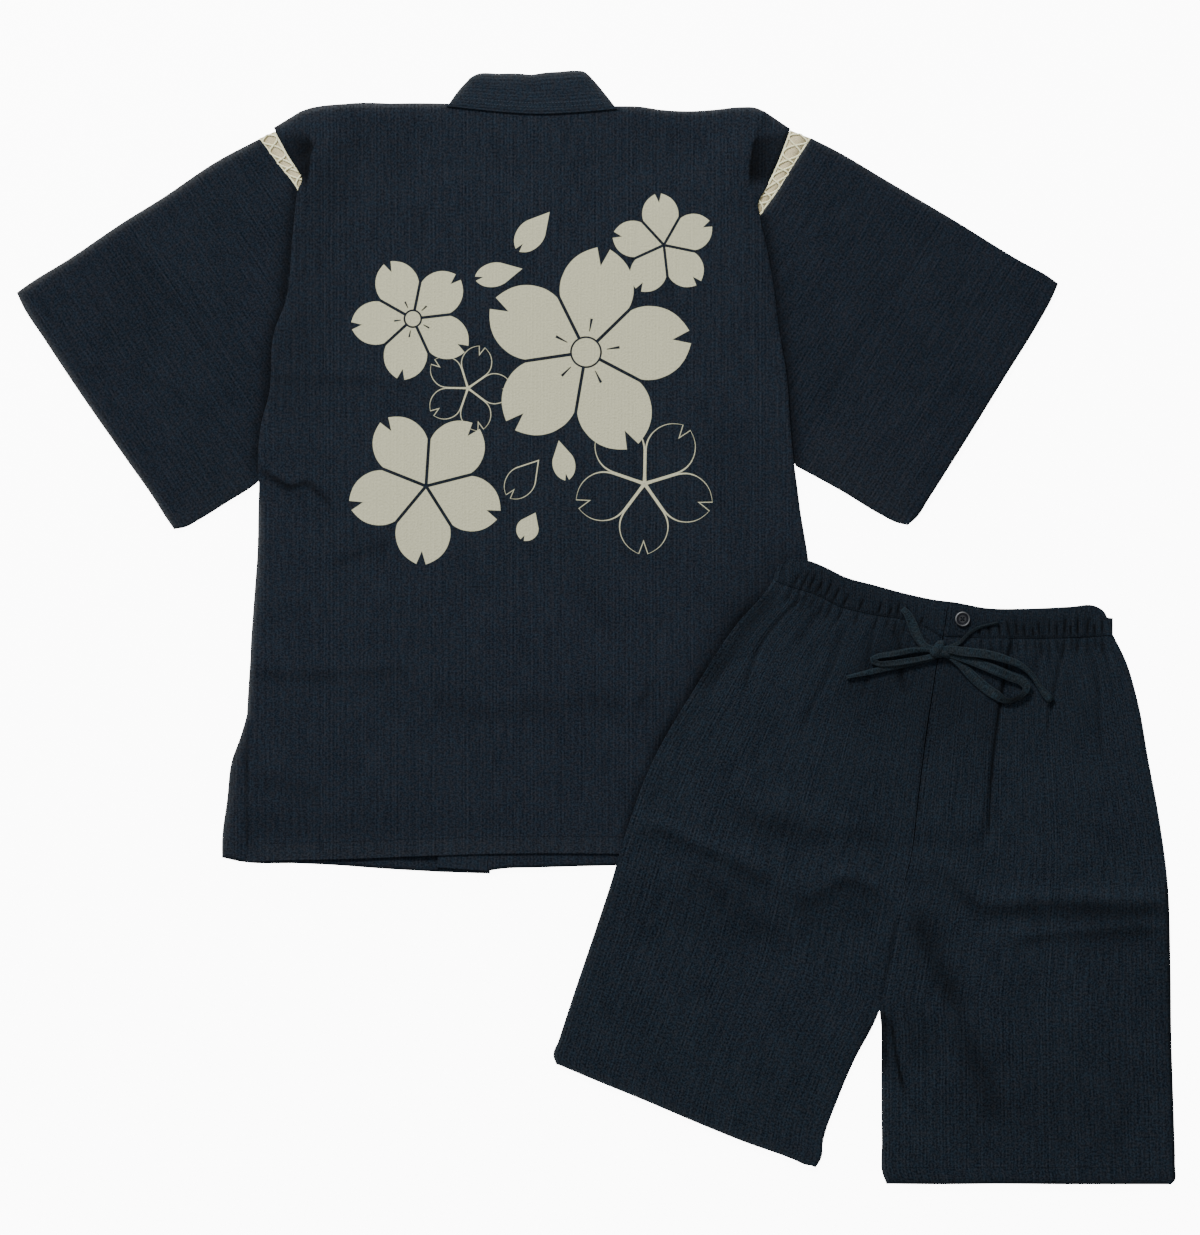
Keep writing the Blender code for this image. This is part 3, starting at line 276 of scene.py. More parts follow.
GRAIN = "grain"  # the UV map of each piece: its place on the flat cloth, in metres
# Name of the per-point attribute: painted shade in creases, folds and shadows; below 0, painted rim light
PAINTED_LIGHT_AND_SHADE = "hollow"  # how much darker the cloth is in its creases
ROLL_ROWS = 7  # across a rolled edge
COLLAR_SINK = 0.7  # how far the neckband comes down on the back panel at their seam
EDGE = 0.8  # the first row in from a cut or folded end
SLEEVE_DEPTH = 285.0
SLEEVE_ROLL = 2.4
LACE_TUCK = 3.4  # how far the lace runs on, each way, to meet the sleeve and the body
LACE_TAPES = (0.11, 0.89)  # where its tapes run, as shares of its width
LACE_TAPE = 2.3  # the width of a tape
LACE_GROUND = (0.12, 0.5, 0.88)  # the net's columns, as shares of its width
LACE_SWING = 0.38  # how far a crossing cord swings from the middle
LACE_THREAD = (1.9, 1.1)  # a crossing cord's width and thickness

# The print: every petal comes from one formula. Its half width at shares of its length, from tip to lobes:
PETAL_WIDTHS = [(0.0, 0.0), (0.30, 0.225), (0.45, 0.318), (0.58, 0.350), (0.70, 0.338), (0.80, 0.300),
                (0.88, 0.243), (0.94, 0.172), (1.0, 0.060)]
PETAL_ANGLE = math.pi / 5  # half of a petal's share of the blossom
PETAL_NOTCH = 0.83  # where its notch begins
PETAL_CLEFT = 0.36  # how fast the notch opens
PRINT_LINE = 0.957  # the size of the hollow in an outlined petal
PRINT_HAIR = 0.0008  # its thinnest line, in metres
PRINT_SOFT = 0.00035  # the softness of the ink's edge, in metres
# Blossoms: middle, radius, turn of the first petal in degrees, gap between petals, middle disc, kind
BLOSSOMS = [
    (-10, 275.6, 105.2, 80.3, 2.0, 15, "Solid"),
    (-183, 309, 61.6, 42.6, 1.8, 8.4, "Solid"),
    (67.8, 382.6, 51.6, 96.5, 1.7, 0, "Solid"),
    (-169.8, 141.8, 78.2, 50.3, 2.0, 0, "Solid"),
    (-128, 239.6, 44, 71, -0.3, 0, "Line"),
    (48.5, 144.2, 70.4, 53, -0.4, 0, "Line"),
]
# Loose petals: middle, length, width, turn of the tip in degrees, kind
STRAY_PETALS = [
    (-62.4, 396.6, 50, 27, 50, "Solid"),
    (-97, 354, 48, 24, 12, "Solid"),
    (-72.4, 149.6, 48.5, 29, 50, "Line"),
    (-33, 167.6, 40.5, 22.5, 102, "Solid"),
    (-67.1, 101.6, 30.5, 22, 64, "Solid"),
]

# Creases: half width, height, how much painted shade darkens its hollow, and the line of the hollow. Above 0
# the height is a roll's, which stands on the left of the way that the line runs; below 0 it is a trough's.
# Entries without height are broad painted shade.
JACKET_CREASES = [
    (4.5, 3.4, 0.80, [(-341, 164), (-329, 154), (-316, 146), (-305, 140.5), (-296, 143), (-291, 145),
     (-281, 138), (-271, 130), (-262, 116)]),
    (7, 2.1, 0.30, [(-271, 61), (-242, 72), (-201, 88)]),
    (7, 1.6, 0.18, [(-330, 251), (-248, 248), (-175, 241)]),
    (8, 1.9, 0.21, [(-345, -46), (-289, -48), (-232, -44), (-170, -42)]),
    (16, 2.0, 0.20, [(-172, -66), (-125, -84), (-52, -80), (-2, -74), (38, -80)]),
    (6, 2.1, 0.32, [(36, -82), (48, -68), (54, -56), (66, -47)]),
    (14, 2.2, 0.20, [(-348, -153), (-306, -158), (-262, -168)]),
    (7, -1.2, 0.20, [(-172, 432), (-175, 400), (-177, 368)]),
    (4, -1.0, 0.31, [(-97, 498), (-99, 461)]),
    (6, -0.9, 0.24, [(-30, 508), (-29, 478)]),
    (3, -0.8, 0.14, [(-3, 508), (-2, 478)]),
    (6, 1.1, 0.10, [(-175, 468), (-120, 463), (-20, 465), (20, 468)]),
    (9, 1.2, 0.04, [(125, 165), (160, 171), (192, 179)]),
    (16, 1.2, 0.11, [(-24, 60), (-2, 26), (22, -14)]),
    (10, 1.0, 0.06, [(-336, 28), (-290, 20), (-250, 26)]),
    (12, 1.0, 0.07, [(-350, -192), (-300, -198), (-230, -194)]),
    (40, 0.0, 0.12, [(-272, 500), (-290, 330), (-322, 210)]),
    (75, 0.0, 0.15, [(-270, 490), (-180, 460)]),
    (40, 0.0, 0.08, [(-10, 500), (110, 492)]),
    (26, 0.0, 0.10, [(152, 480), (168, 380), (182, 290)]),
    (24, 0.0, 0.22, [(206, 84), (160, 40), (112, -40), (60, -140)]),
]
SHORTS_CREASES = [
    (7, 1.5, 0.27, [(48, -196), (78, -209), (105, -222), (132, -234)]),
    (11, 1.3, 0.31, [(118, -228), (146, -241), (176, -256)]),
    (16, 1.5, 0.24, [(130, -172), (158, -192), (186, -200), (213, -206), (240, -203)]),
    (12, 1.4, 0.15, [(236, -203), (266, -208), (296, -212)]),
    (13, 1.1, 0.20, [(190, -272), (208, -272), (222, -267), (236, -258)]),
    (8, 1.4, 0.34, [(228, -264), (240, -257), (252, -254), (270, -260), (288, -269)]),
    (17, 1.0, 0.15, [(78, -243), (107, -252), (153, -289), (176, -305), (202, -323)]),
    (10, 1.5, 0.29, [(323, -240), (344, -245), (360, -256), (372, -272), (391, -283), (414, -282),
     (449, -278), (487, -278), (526, -280), (572, -278)]),
    (6, 0.9, 0.22, [(414, -315), (449, -310), (487, -307), (526, -304), (572, -302)]),
    (18, 1.9, 0.34, [(307, -285), (323, -289), (332, -304), (340, -328), (353, -355), (364, -388),
     (378, -432), (392, -468), (405, -493)]),
    (12, 0.0, 0.20, [(306, -292), (322, -302), (332, -322), (345, -350), (356, -380)]),
    (2.4, -1.2, 0.95, [(294, -385), (297, -405), (301, -431), (306, -455), (310, -472)]),
    (2.5, -0.8, 0.28, [(374, -489), (381, -541)]),
    (11, -1.6, 0.30, [(186, 39), (157, 9), (127, -35), (98, -71)]),
    (2.6, -1.6, 0.46, [(211, 34), (196, 21), (178, 3), (165, -15), (153, -45), (146, -69)]),
    (4, -1.4, 0.24, [(249, 10), (243, -14), (234, -41), (216, -77), (202, -112)]),
    (3, -1.3, 0.20, [(278, 4), (273, -29), (268, -62), (263, -82)]),
    (3.5, -1.5, 0.41, [(301, 6), (303, -14), (305, -41), (308, -66)]),
    (8, -1.2, 0.19, [(298, -42), (306, -56), (312, -72)]),
    (2.1, -1.5, 0.95, [(416, -8), (411, -32), (404, -74), (399, -110), (395, -149), (392, -212)]),
    (2.6, -1.6, 0.42, [(469, -8), (464, -32), (458, -62), (452, -92), (450, -118)]),
    (3.5, -1.5, 0.22, [(493, -8), (497, -32), (501, -56), (504, -92), (505, -134)]),
    (3, -1.4, 0.30, [(504, -9), (510, -31), (514, -48)]),
    (4, -1.4, 0.38, [(482, -9), (480, -25)]),
    (5, -1.2, 0.26, [(446, -9), (442, -30), (437, -52)]),
    (5, -1.2, 0.14, [(226, 26), (214, 2), (198, -24)]),
    (80, 0.0, 0.25, [(262, -10), (330, -60), (410, -75)]),
    (3, 0.0, 0.30, [(315, -222), (322, -168), (331, -98), (335, -74)]),
    (20, 0.0, 0.14, [(420, -292), (560, -290)]),
    (24, 0.0, 0.10, [(170, 40), (112, -40), (70, -120)]),
    (60, 0.0, 0.14, [(350, -440), (440, -480), (540, -500)]),
    (28, 0.0, 0.22, [(294, -366), (318, -400), (345, -440)]),
    (30, 0.0, 0.07, [(500, -60), (470, -120)]),
    (30, 0.0, 0.07, [(470, -260), (530, -330)]),
    (22, 0.0, 0.08, [(175, -190), (215, -196)]),
    (60, 0.0, 0.09, [(540, -270), (545, -480)]),
    (30, 0.0, 0.10, [(404, -60), (400, -130)]),
    (20, 0.0, 0.10, [(200, 28), (240, 10)]),
]
SLEEVE_CREASES = [
    (7, -0.9, 0.15, [(-471, 389), (-435, 342), (-404, 302), (-380, 268)]),
    (4, -0.6, 0.10, [(-394, 433), (-369, 388)]),
    (7, -0.6, 0.09, [(344, 405), (279, 313), (238, 241), (211, 204)]),
    (4, -0.8, 0.13, [(242, 245), (230, 236), (216, 221)]),
    (10, 0.6, 0.04, [(-520, 250), (-470, 262), (-430, 240)]),
    (10, 0.6, 0.05, [(290, 180), (330, 210), (370, 250)]),
    (40, 0.0, 0.10, [(-290, 400), (-300, 300), (-325, 210)]),
    (58, 0.0, 0.14, [(-510, 310), (-440, 350)]),
]
# Grooves along the seams: half width, height and painted shade; their lines are the tables of the pieces
SEAM_GROOVE = (2.2, -0.6, 0.24)
INSEAM_GROOVE = (2.6, -0.8, 0.45)
# Painted shade beside the back's folded sides: how much darker, how far aside and how far up, for the back
# itself and for the sleeves below it
FOLD_SHADES = {"fold": (0.70, 30.0, 499), "edge": (0.58, 9.0, 515)}
# Gathers in the waistband: where each leaves the casing, how far it slants and its height
BAND_GATHERS = [(196, 8, 16), (204, 9, 20), (211, 10, 22), (219, 8, 16), (228, 8, 20), (236, 8, 18),
                (246, 7, 16),
                (262, 5, 14), (281, 5, 16), (292, 4, 12), (300, 4, 20), (309, 3, 16), (324, 3, 10),
                (384, -2, 12),
                (394, -3, 18), (404, -2, 16), (414, -4, 20), (421, -1, 18), (429, -2, 16), (438, -2, 12),
                (444, -3, 20), (453, 0, 22), (461, -1, 16), (468, 2, 24), (475, -1, 14), (481, 0, 22),
                (491, 1, 22), (499, -1, 14), (506, 0, 20)]
# Painted shade along the waistband
BAND_SHADE = (30, 0.0, 0.24, [(196, 52), (261, 26), (330, 10), (409, 0), (510, 2)])  # over its whole length
BAND_TALL = 28.0  # the waistband's height on the flat cloth
BAND_GATHER = (1.9, -1.1, 0.70)
LEG_GATHER = (1.9, -0.8, 0.50)  # where it runs on below the casing
# Painted highlight along a piece's edges, or painted shade below 0: strength, reach and line, for each piece
RIM_MOST = 2.0
RIMS = {
    "jacket_back": [(4.8, 2.2, [(-322, 500)] + SHOULDERS[:7]), (2.6, 2.2, SHOULDERS[8:]), (1.2, 2.2,
        [(169, 516), (194, 499)]), (3.2, 2.2, [(-337, 130), (-338, 68), (-344, -12), (-349, -94)])],
    "jacket_front_left": [(2.8, 2.8, FRONT_LEFT_SIDE[:6])],
    "jacket_front_right": [],
    "neckband_back": [(2.9, 2.6, COLLAR_TOP), (3.4, 2.6, COLLAR_LEFT), (1.8, 2.4, COLLAR_RIGHT)],
    "sleeve_left": [(5.0, 2.2, SLEEVE_LEFT_FOLD), (4.0, 2.2, SLEEVE_LEFT_CUFF),
                    (0.16, 30, SLEEVE_LEFT_UNDER)],
    "sleeve_right": [(1.3, 2.2, SLEEVE_RIGHT_FOLD[3:]), (1.8, 2.2, SLEEVE_RIGHT_ARMHOLE[:4]),
        (0.22, 50, SLEEVE_RIGHT_UNDER), (-2.0, 1.1, SLEEVE_RIGHT_CUFF)],
    "leg_right": [(1.0, 2.4, OUTER_RIGHT[:6]), (0.55, 3.0, HEM_RIGHT), (-0.45, 3.0, INSEAM_RIGHT[3:])],
    "leg_left": [(-1.2, 2.0, HEM_LEFT), (-1.2, 2.0, OUTER_LEFT[1:7]), (0.9, 2.4, INSEAM_LEFT[:4]), (-2.2, 3.5,
        [(285.5, -440), (285.2, -384)])],
}
# Painted highlight along the back panel's hem
HEM_RIM_LIGHT = 0.16
HEM_SINK = 0.9  # how far the back panel comes down at its hem, and where the right front is not below it
HEM_SINK_LEFT = 1.5
# The drawstring as it shows: for each piece its nodes in the frame, its width, where it ends, and a route of
# x, y, height over what it lies on, width, and how much painted shade darkens it there
RIBBON_STEPS = 40
RIBBONS = [
    ("drawstring_from_left", ["drawstring_lead_left", "drawstring_tail_right"], 5.5, "bare",
     [(402, 5.2, 0, 2.4, 0.3), (391, 3.2, 0, 2.8, 0.3), (381, 0, 0, 3, 0.3), (372, -5.6, 0, 3.2, 0.3),
     (364, -13.5, 0.4, 3.6, 0.3), (353, -20, 2.2, 5, 0), (343, -25, 2.4, 5.5, 0), (333.5, -30, 0.8, 5.5, 0),
     (320, -33.5, 0, 5.5, 0.12), (303, -37.5, 0, 5.8, 0), (288, -40.5, 0, 5.8, 0), (276, -43.4, 0, 5.2, 0),
     (264, -46, 0, 4.4, 0), (250, -49.3, 0, 3, 0)]),
    ("drawstring_bow_right", ["drawstring_loop_right"], 5.5, "object", [(337, -22, 2.6, 4.6, 0),
     (322, -21.4, 1.6, 5, 0), (308, -23.6, 1.4, 5.4, 0), (293, -26.4, 1.4, 5.4, 0), (282, -28.2, 1.4, 5, 0),
     (275.5, -31.6, 1.4, 4.8, 0.12), (281, -35.4, 1.5, 5.2, 0.12), (293, -35.6, 1.6, 5.6, 0.12),
     (308, -33.6, 1.6, 5.8, 0.12), (322, -31.4, 1.6, 5.6, 0.12), (337, -28, 2.2, 5, 0)]),
    ("drawstring_bow_left", ["drawstring_loop_left"], 8.5, "object", [(350, -26, 2.4, 5.5, 0),
     (359, -28, 1.8, 6.5, 0), (371, -31.5, 1.5, 7.6, 0), (386, -36.8, 1.5, 9, 0), (400.5, -42.8, 1.5, 9.2, 0),
     (415, -48.8, 1.5, 9, 0), (426, -53.4, 1.5, 8.6, 0), (430.5, -59, 1.4, 8, 0), (427, -66, 1.2, 5.2, 0.45),
     (420, -71, 0.7, 4.2, 0.75), (411, -73, 0.2, 5.4, 0.5), (400, -67.4, 0, 9.2, 0), (390.5, -61, 0, 9.6, 0),
     (381, -53.2, 0, 9.6, 0), (371.5, -44, 0, 8.8, 0), (362.5, -35, 0.5, 7.2, 0), (352, -27.5, 1.6, 5.5, 0)]),
    ("drawstring_from_right", ["drawstring_lead_right", "drawstring_tail_left"], 8.0, "bare",
     [(306, 19.5, 0, 5, 0), (310.5, 14.7, 0, 7, 0), (315.5, 4.9, 0, 8.8, 0), (320.5, -7.3, 0.2, 8.8, 0),
     (327.5, -17.5, 1.4, 6.8, 0), (337, -21, 3.4, 5.2, 0), (351, -21.4, 4.6, 6.8, 0), (366, -23.4, 4, 8.4, 0),
     (381, -25, 3.6, 8.2, 0), (395.5, -27.4, 3.4, 7.8, 0), (410, -31.6, 3, 7, 0), (425, -37.8, 2.4, 5.6, 0),
     (435.5, -47.2, 1.2, 4.6, 0), (442.5, -57.5, 0.2, 4.8, 0), (449, -66, 0, 7.2, 0), (455, -73, 0, 7.6, 0)]),
]
KNOT_LOOK = (342.6, -22.0)  # the knot's middle
KNOT_SINK = 0.42  # how much of each lump lies below the string's level
# The knot's lumps: place from its middle, turn, width, height in plan and thickness
KNOT_LUMPS = [(0, -1.5, 8, 19, 13, 6.4), (-0.8, 1.4, 66, 18.5, 11, 7.6), (5.2, -3.2, -32, 13.5, 8, 6.8)]
BACK_SLIT = [(-349, -92), (-350, -162), (-349, -233)]  # the back panel's edge over the open side
# Random hills that keep the cloth from lying dead flat: size, height, seed
JACKET_HILLS = [(95, 0.45, 3), (38, 0.22, 5), (15, 0.07, 7)]
SLEEVE_HILLS = [(80, 0.40, 11), (34, 0.20, 13), (14, 0.06, 17)]
SHORTS_HILLS = [(85, 0.45, 19), (36, 0.24, 23), (14, 0.07, 29)]
HIDDEN_HILLS = [(90, 0.10, 31), (40, 0.06, 37)]
# Gathers of the waist: how many, height, reach down the leg, phase
WAIST_RIPPLES = [(17, 0.55, 34, 0.3), (11, 0.45, 80, 1.1), (6, 0.18, 150, 2.6)]


# ---------------------------------------------------------------- sizes and colours


def length(name, text, default, low=0.0001, high=0.1):
    return FloatProperty(name=name, description=text, default=default, min=low, max=high, unit="LENGTH",
                         precision=5)


def colour(name, text, default):
    return FloatVectorProperty(name=name, description=text, default=default, min=0, max=1, size=3,
                               subtype="COLOR")


class JinbeiSizes(bpy.types.PropertyGroup):
    """The sizes that a user would change."""

    wall: length("Cloth", "Thickness of the single cloth", 0.0007)
    hem_wall: length("Hem", "Thickness where a hem is turned up", 0.0014)
    waist_wall: length("Waistband", "Thickness over the elastic", 0.0015)
    spacing: length("Mesh", "Distance between the points of the cloth's mesh", 0.0031, 0.001)
    stripe: length("Stripe", "Distance between the raised stripes of the weave", 0.0034)
    grain: length("Crepe", "Size of the weave's crepe grain", 0.0019)
    stitch: length("Stitch", "Distance between stitches", 0.0030)
    cord_height: length("Drawstring thickness", "Thickness of the flat drawstring", 0.0016)
    lace_cell: length("Lace", "Distance between the crossings of the lace", 0.0135)


class JinbeiColours(bpy.types.PropertyGroup):
    """The colours that a user would change."""

    jacket_dark: colour("Jacket, hollows", "Between the stripes of the jacket's cloth",
                        (0.0019, 0.0044, 0.0089))
    jacket_light: colour("Jacket, stripes", "On the stripes of the jacket's cloth",
                         (0.0191, 0.0256, 0.0364))
    sleeve_dark: colour("Sleeve, hollows", "Between the stripes of the sleeves", (0.0010, 0.0040, 0.0079))
    sleeve_light: colour("Sleeve, stripes", "On the stripes of the sleeves", (0.0165, 0.0212, 0.0308))
    shorts_dark: colour("Shorts, hollows", "Between the stripes of the shorts", (0.0005, 0.0026, 0.0060))
    shorts_light: colour("Shorts, stripes", "On the stripes of the shorts", (0.0191, 0.0273, 0.0383))
    cord_dark: colour("Drawstring, hollows", "Between the threads of the drawstring",
                      (0.0014, 0.0034, 0.0056))
    cord_light: colour("Drawstring, threads", "On the threads of the drawstring", (0.0236, 0.0362, 0.0462))
    collar_dark: colour("Neckband, hollows", "Between the stripes of the neckband", (0.0038, 0.0068, 0.0120))
    collar_light: colour("Neckband, stripes", "On the stripes of the neckband", (0.0185, 0.0262, 0.0372))
    print_ink: colour("Print", "The ink of the blossoms", (0.545, 0.535, 0.365))
    lace: colour("Lace", "The cotton of the lace", (0.98, 0.90, 0.58))
    # Partly painted shade: the net stands for the lower cords and the shade seen through the lace's gaps
    lace_net_and_shade: colour("Lace, hollows", "The net between the lace's cords", (0.62, 0.545, 0.345))
    # Painted rim light: the colour added along the cloth's edges where they are painted paler
    painted_rim_light: colour("Painted rim light", "What the pale rims of the cloth add", (0.0150, 0.0147, 0.0138))
    thread: colour("Thread", "The sewing thread", (0.006, 0.009, 0.014))
    thread_light: colour("Thread, neckband", "The topstitching of the neckband", (0.030, 0.041, 0.056))
    button: colour("Button", "The middle of the button", (0.003, 0.004, 0.008))
    # Painted highlight: the bright colour of the button's rim
    button_rim_highlight: colour("Button, rim", "The rim of the button", (0.200, 0.205, 0.215))
    floor: colour("Floor", "The floor and the room", (0.90, 0.90, 0.90))


def sizes():
    return bpy.context.scene.jinbei_sizes


def colours():
    return bpy.context.scene.jinbei_colours


# ---------------------------------------------------------------- materials


class Nodes:
    """A node tree that is built a step at a time: each step takes values or sockets and returns a socket."""

    def __init__(self, tree):
        self.tree = tree

    def add(self, kind, **settings):
        made = self.tree.nodes.new(kind)
        for name, value in settings.items():
            setattr(made, name, value)
        return made

    def feed(self, socket, value):
        if isinstance(value, bpy.types.NodeSocket):
            self.tree.links.new(value, socket)
        else:
            socket.default_value = value

    def math(self, operation, *values, clamp=False):
        made = self.add("ShaderNodeMath", operation=operation, use_clamp=clamp)
        for socket, value in zip(made.inputs, values):
            self.feed(socket, value)
        return made.outputs[0]

    def vector(self, operation, *values):
        made = self.add("ShaderNodeVectorMath", operation=operation)
        for socket, value in zip(made.inputs, values):
            self.feed(socket, value)
        return made.outputs[0]

    def step(self, value, low, high, to_low=0.0, to_high=1.0):
        made = self.add("ShaderNodeMapRange", interpolation_type="SMOOTHSTEP")
        for socket, given in zip(made.inputs, (value, low, high, to_low, to_high)):
            self.feed(socket, given)
        return made.outputs[0]

    def noise(self, vector, scale, detail=2.0, roughness=0.5, dimensions="3D"):
        made = self.add("ShaderNodeTexNoise", noise_dimensions=dimensions)
        self.feed(made.inputs["W" if dimensions == "1D" else "Vector"], vector)
        for name, value in (("Scale", scale), ("Detail", detail), ("Roughness", roughness)):
            self.feed(made.inputs[name], value)
        return made.outputs[0]

    def mix(self, factor, a, b):
        made = self.add("ShaderNodeMix", data_type="RGBA", clamp_factor=False)
        for index, value in ((0, factor), (6, a), (7, b)):
            self.feed(made.inputs[index], value)
        return made.outputs[2]

    def blend(self, how, a, b):
        made = self.add("ShaderNodeMix", data_type="RGBA", blend_type=how)
        for index, value in ((0, 1.0), (6, a), (7, b)):
            self.feed(made.inputs[index], value)
        return made.outputs[2]

    def part(self, vector):
        made = self.add("ShaderNodeSeparateXYZ")
        self.feed(made.inputs[0], vector)
        return made.outputs[0], made.outputs[1], made.outputs[2]

    def join(self, x, y, z=0.0):
        made = self.add("ShaderNodeCombineXYZ")
        for socket, value in zip(made.inputs, (x, y, z)):
            self.feed(socket, value)
        return made.outputs[0]

    def group(self, tree, **values):
        made = self.add("ShaderNodeGroup", node_tree=tree)
        for name, value in values.items():
            self.feed(made.inputs[name.replace("_", " ").capitalize()], value)
        return made.outputs


def group_tree(name, inputs, outputs):
    """An empty node group: its Nodes, its inputs by name, and a way to set its outputs."""
    tree = bpy.data.node_groups.new(name, "ShaderNodeTree")
    for label, kind in inputs:
        tree.interface.new_socket(label, in_out="INPUT", socket_type=f"NodeSocket{kind}")
    for label in outputs:
        tree.interface.new_socket(label, in_out="OUTPUT", socket_type="NodeSocketFloat")
    nodes = Nodes(tree)
    given = nodes.add("NodeGroupInput").outputs
    taken = nodes.add("NodeGroupOutput").inputs
    return nodes, {label: given[label] for label, _ in inputs}, taken


def weave_group():
    """Crepe-striped cotton: Vector is the place on the flat cloth, its y along the stripes."""
    n, given, out = group_tree(
        "striped crepe", [("Vector", "Vector"), ("Stripe", "Float"), ("Grain", "Float")], ["Tone", "Height"]
    )
    x, y, _ = n.part(given["Vector"])
    sway = n.noise(n.join(n.math("MULTIPLY", x, 40.0), n.math("MULTIPLY", y, 30.0)), 1.0, 2.0)
    across = n.math("ADD", x, n.math("MULTIPLY", n.math("SUBTRACT", sway, 0.5), 0.0016))
    pitch = n.math("DIVIDE", 1.0, given["Stripe"])
    even = n.math("SINE", n.math("MULTIPLY", n.math("MULTIPLY", across, pitch), math.tau))
    loose = n.noise(across, n.math("MULTIPLY", pitch, 1.5), 1.0, 0.6, "1D")
    slub = n.noise(n.join(n.math("MULTIPLY", x, n.math("MULTIPLY", pitch, 1.1)), n.math("MULTIPLY", y, 34.0)),
                   1.0, 1.0, 0.5)
    loose = n.math("MULTIPLY_ADD", loose, 0.55, n.math("MULTIPLY", slub, 0.6))
    stripes = n.math("MULTIPLY_ADD", even, 0.10, loose)
    raised = n.step(stripes, 0.30, 0.98)
    fine = n.math("DIVIDE", 1.0, given["Grain"])
    crepe = n.noise(
        n.join(n.math("MULTIPLY", across, fine), n.math("MULTIPLY", y, n.math("MULTIPLY", fine, 0.95))),
        1.0, 2.0, 0.68,
    )
    speck = n.step(crepe, 0.36, 0.64)
    fade = n.noise(n.join(n.math("MULTIPLY", x, 19.0), n.math("MULTIPLY", y, 19.0)), 1.0, 3.0, 0.6)
    tone = n.math("MULTIPLY_ADD", raised, 0.40, n.math("MULTIPLY", speck, 0.56))
    tone = n.math("MULTIPLY_ADD", n.math("SUBTRACT", fade, 0.5), 0.26, tone)
    n.feed(out["Tone"], n.math("MULTIPLY", tone, 1.0, clamp=True))
    n.feed(out["Height"], n.math("MULTIPLY_ADD", raised, 0.00016, n.math("MULTIPLY", crepe, 0.00060)))
    return n.tree


def petal_group():
    """One notched petal from its tip at 0 to its lobes at 1: how far a place is inside it, as a share."""
    n, given, out = group_tree(
        "petal", [("Along", "Float"), ("Aside", "Float"), ("Gap", "Float")], ["Inside"]
    )
    widths = n.add("ShaderNodeFloatCurve")
    curve = widths.mapping.curves[0]
    for place, width in PETAL_WIDTHS[1:-1]:
        curve.points.new(place, width)
    for point, (place, width) in ((curve.points[0], PETAL_WIDTHS[0]), (curve.points[-1], PETAL_WIDTHS[-1])):
        point.location = place, width
    widths.mapping.update()
    n.feed(widths.inputs["Value"], given["Along"])
    wedge = n.math("SUBTRACT", n.math("MULTIPLY", given["Along"], math.tan(PETAL_ANGLE)), given["Gap"])
    half = n.math("MINIMUM", widths.outputs[0], wedge)
    body = n.math("SUBTRACT", half, given["Aside"])
    cleft = n.math("SUBTRACT", given["Along"], PETAL_NOTCH)
    notch = n.math("SUBTRACT", given["Aside"], n.math("MULTIPLY", cleft, PETAL_CLEFT))
    n.feed(out["Inside"], n.math("MINIMUM", body, notch))
    return n.tree


def inked(n, petal, along, aside, gap, size, out):
    """Fills a shape's Solid and Line outputs; the line thins from the petal's tip to its lobes."""
    inside = n.group(petal, along=along, aside=aside, gap=gap)["Inside"]
    back = n.math("DIVIDE", n.math("SUBTRACT", 1.0, along), PRINT_LINE)
    inner = n.group(
        petal, along=n.math("SUBTRACT", 1.0, back), aside=n.math("DIVIDE", aside, PRINT_LINE), gap=gap
    )["Inside"]
    deep, deeper = n.math("MULTIPLY", inside, size), n.math("MULTIPLY", inner, size)
    solid = n.step(deep, -PRINT_SOFT, PRINT_SOFT)
    hollow = n.step(n.math("MINIMUM", deeper, n.math("SUBTRACT", deep, PRINT_HAIR)), -PRINT_SOFT, PRINT_SOFT)
    n.feed(out["Line"], n.math("SUBTRACT", solid, hollow, clamp=True))
    return solid


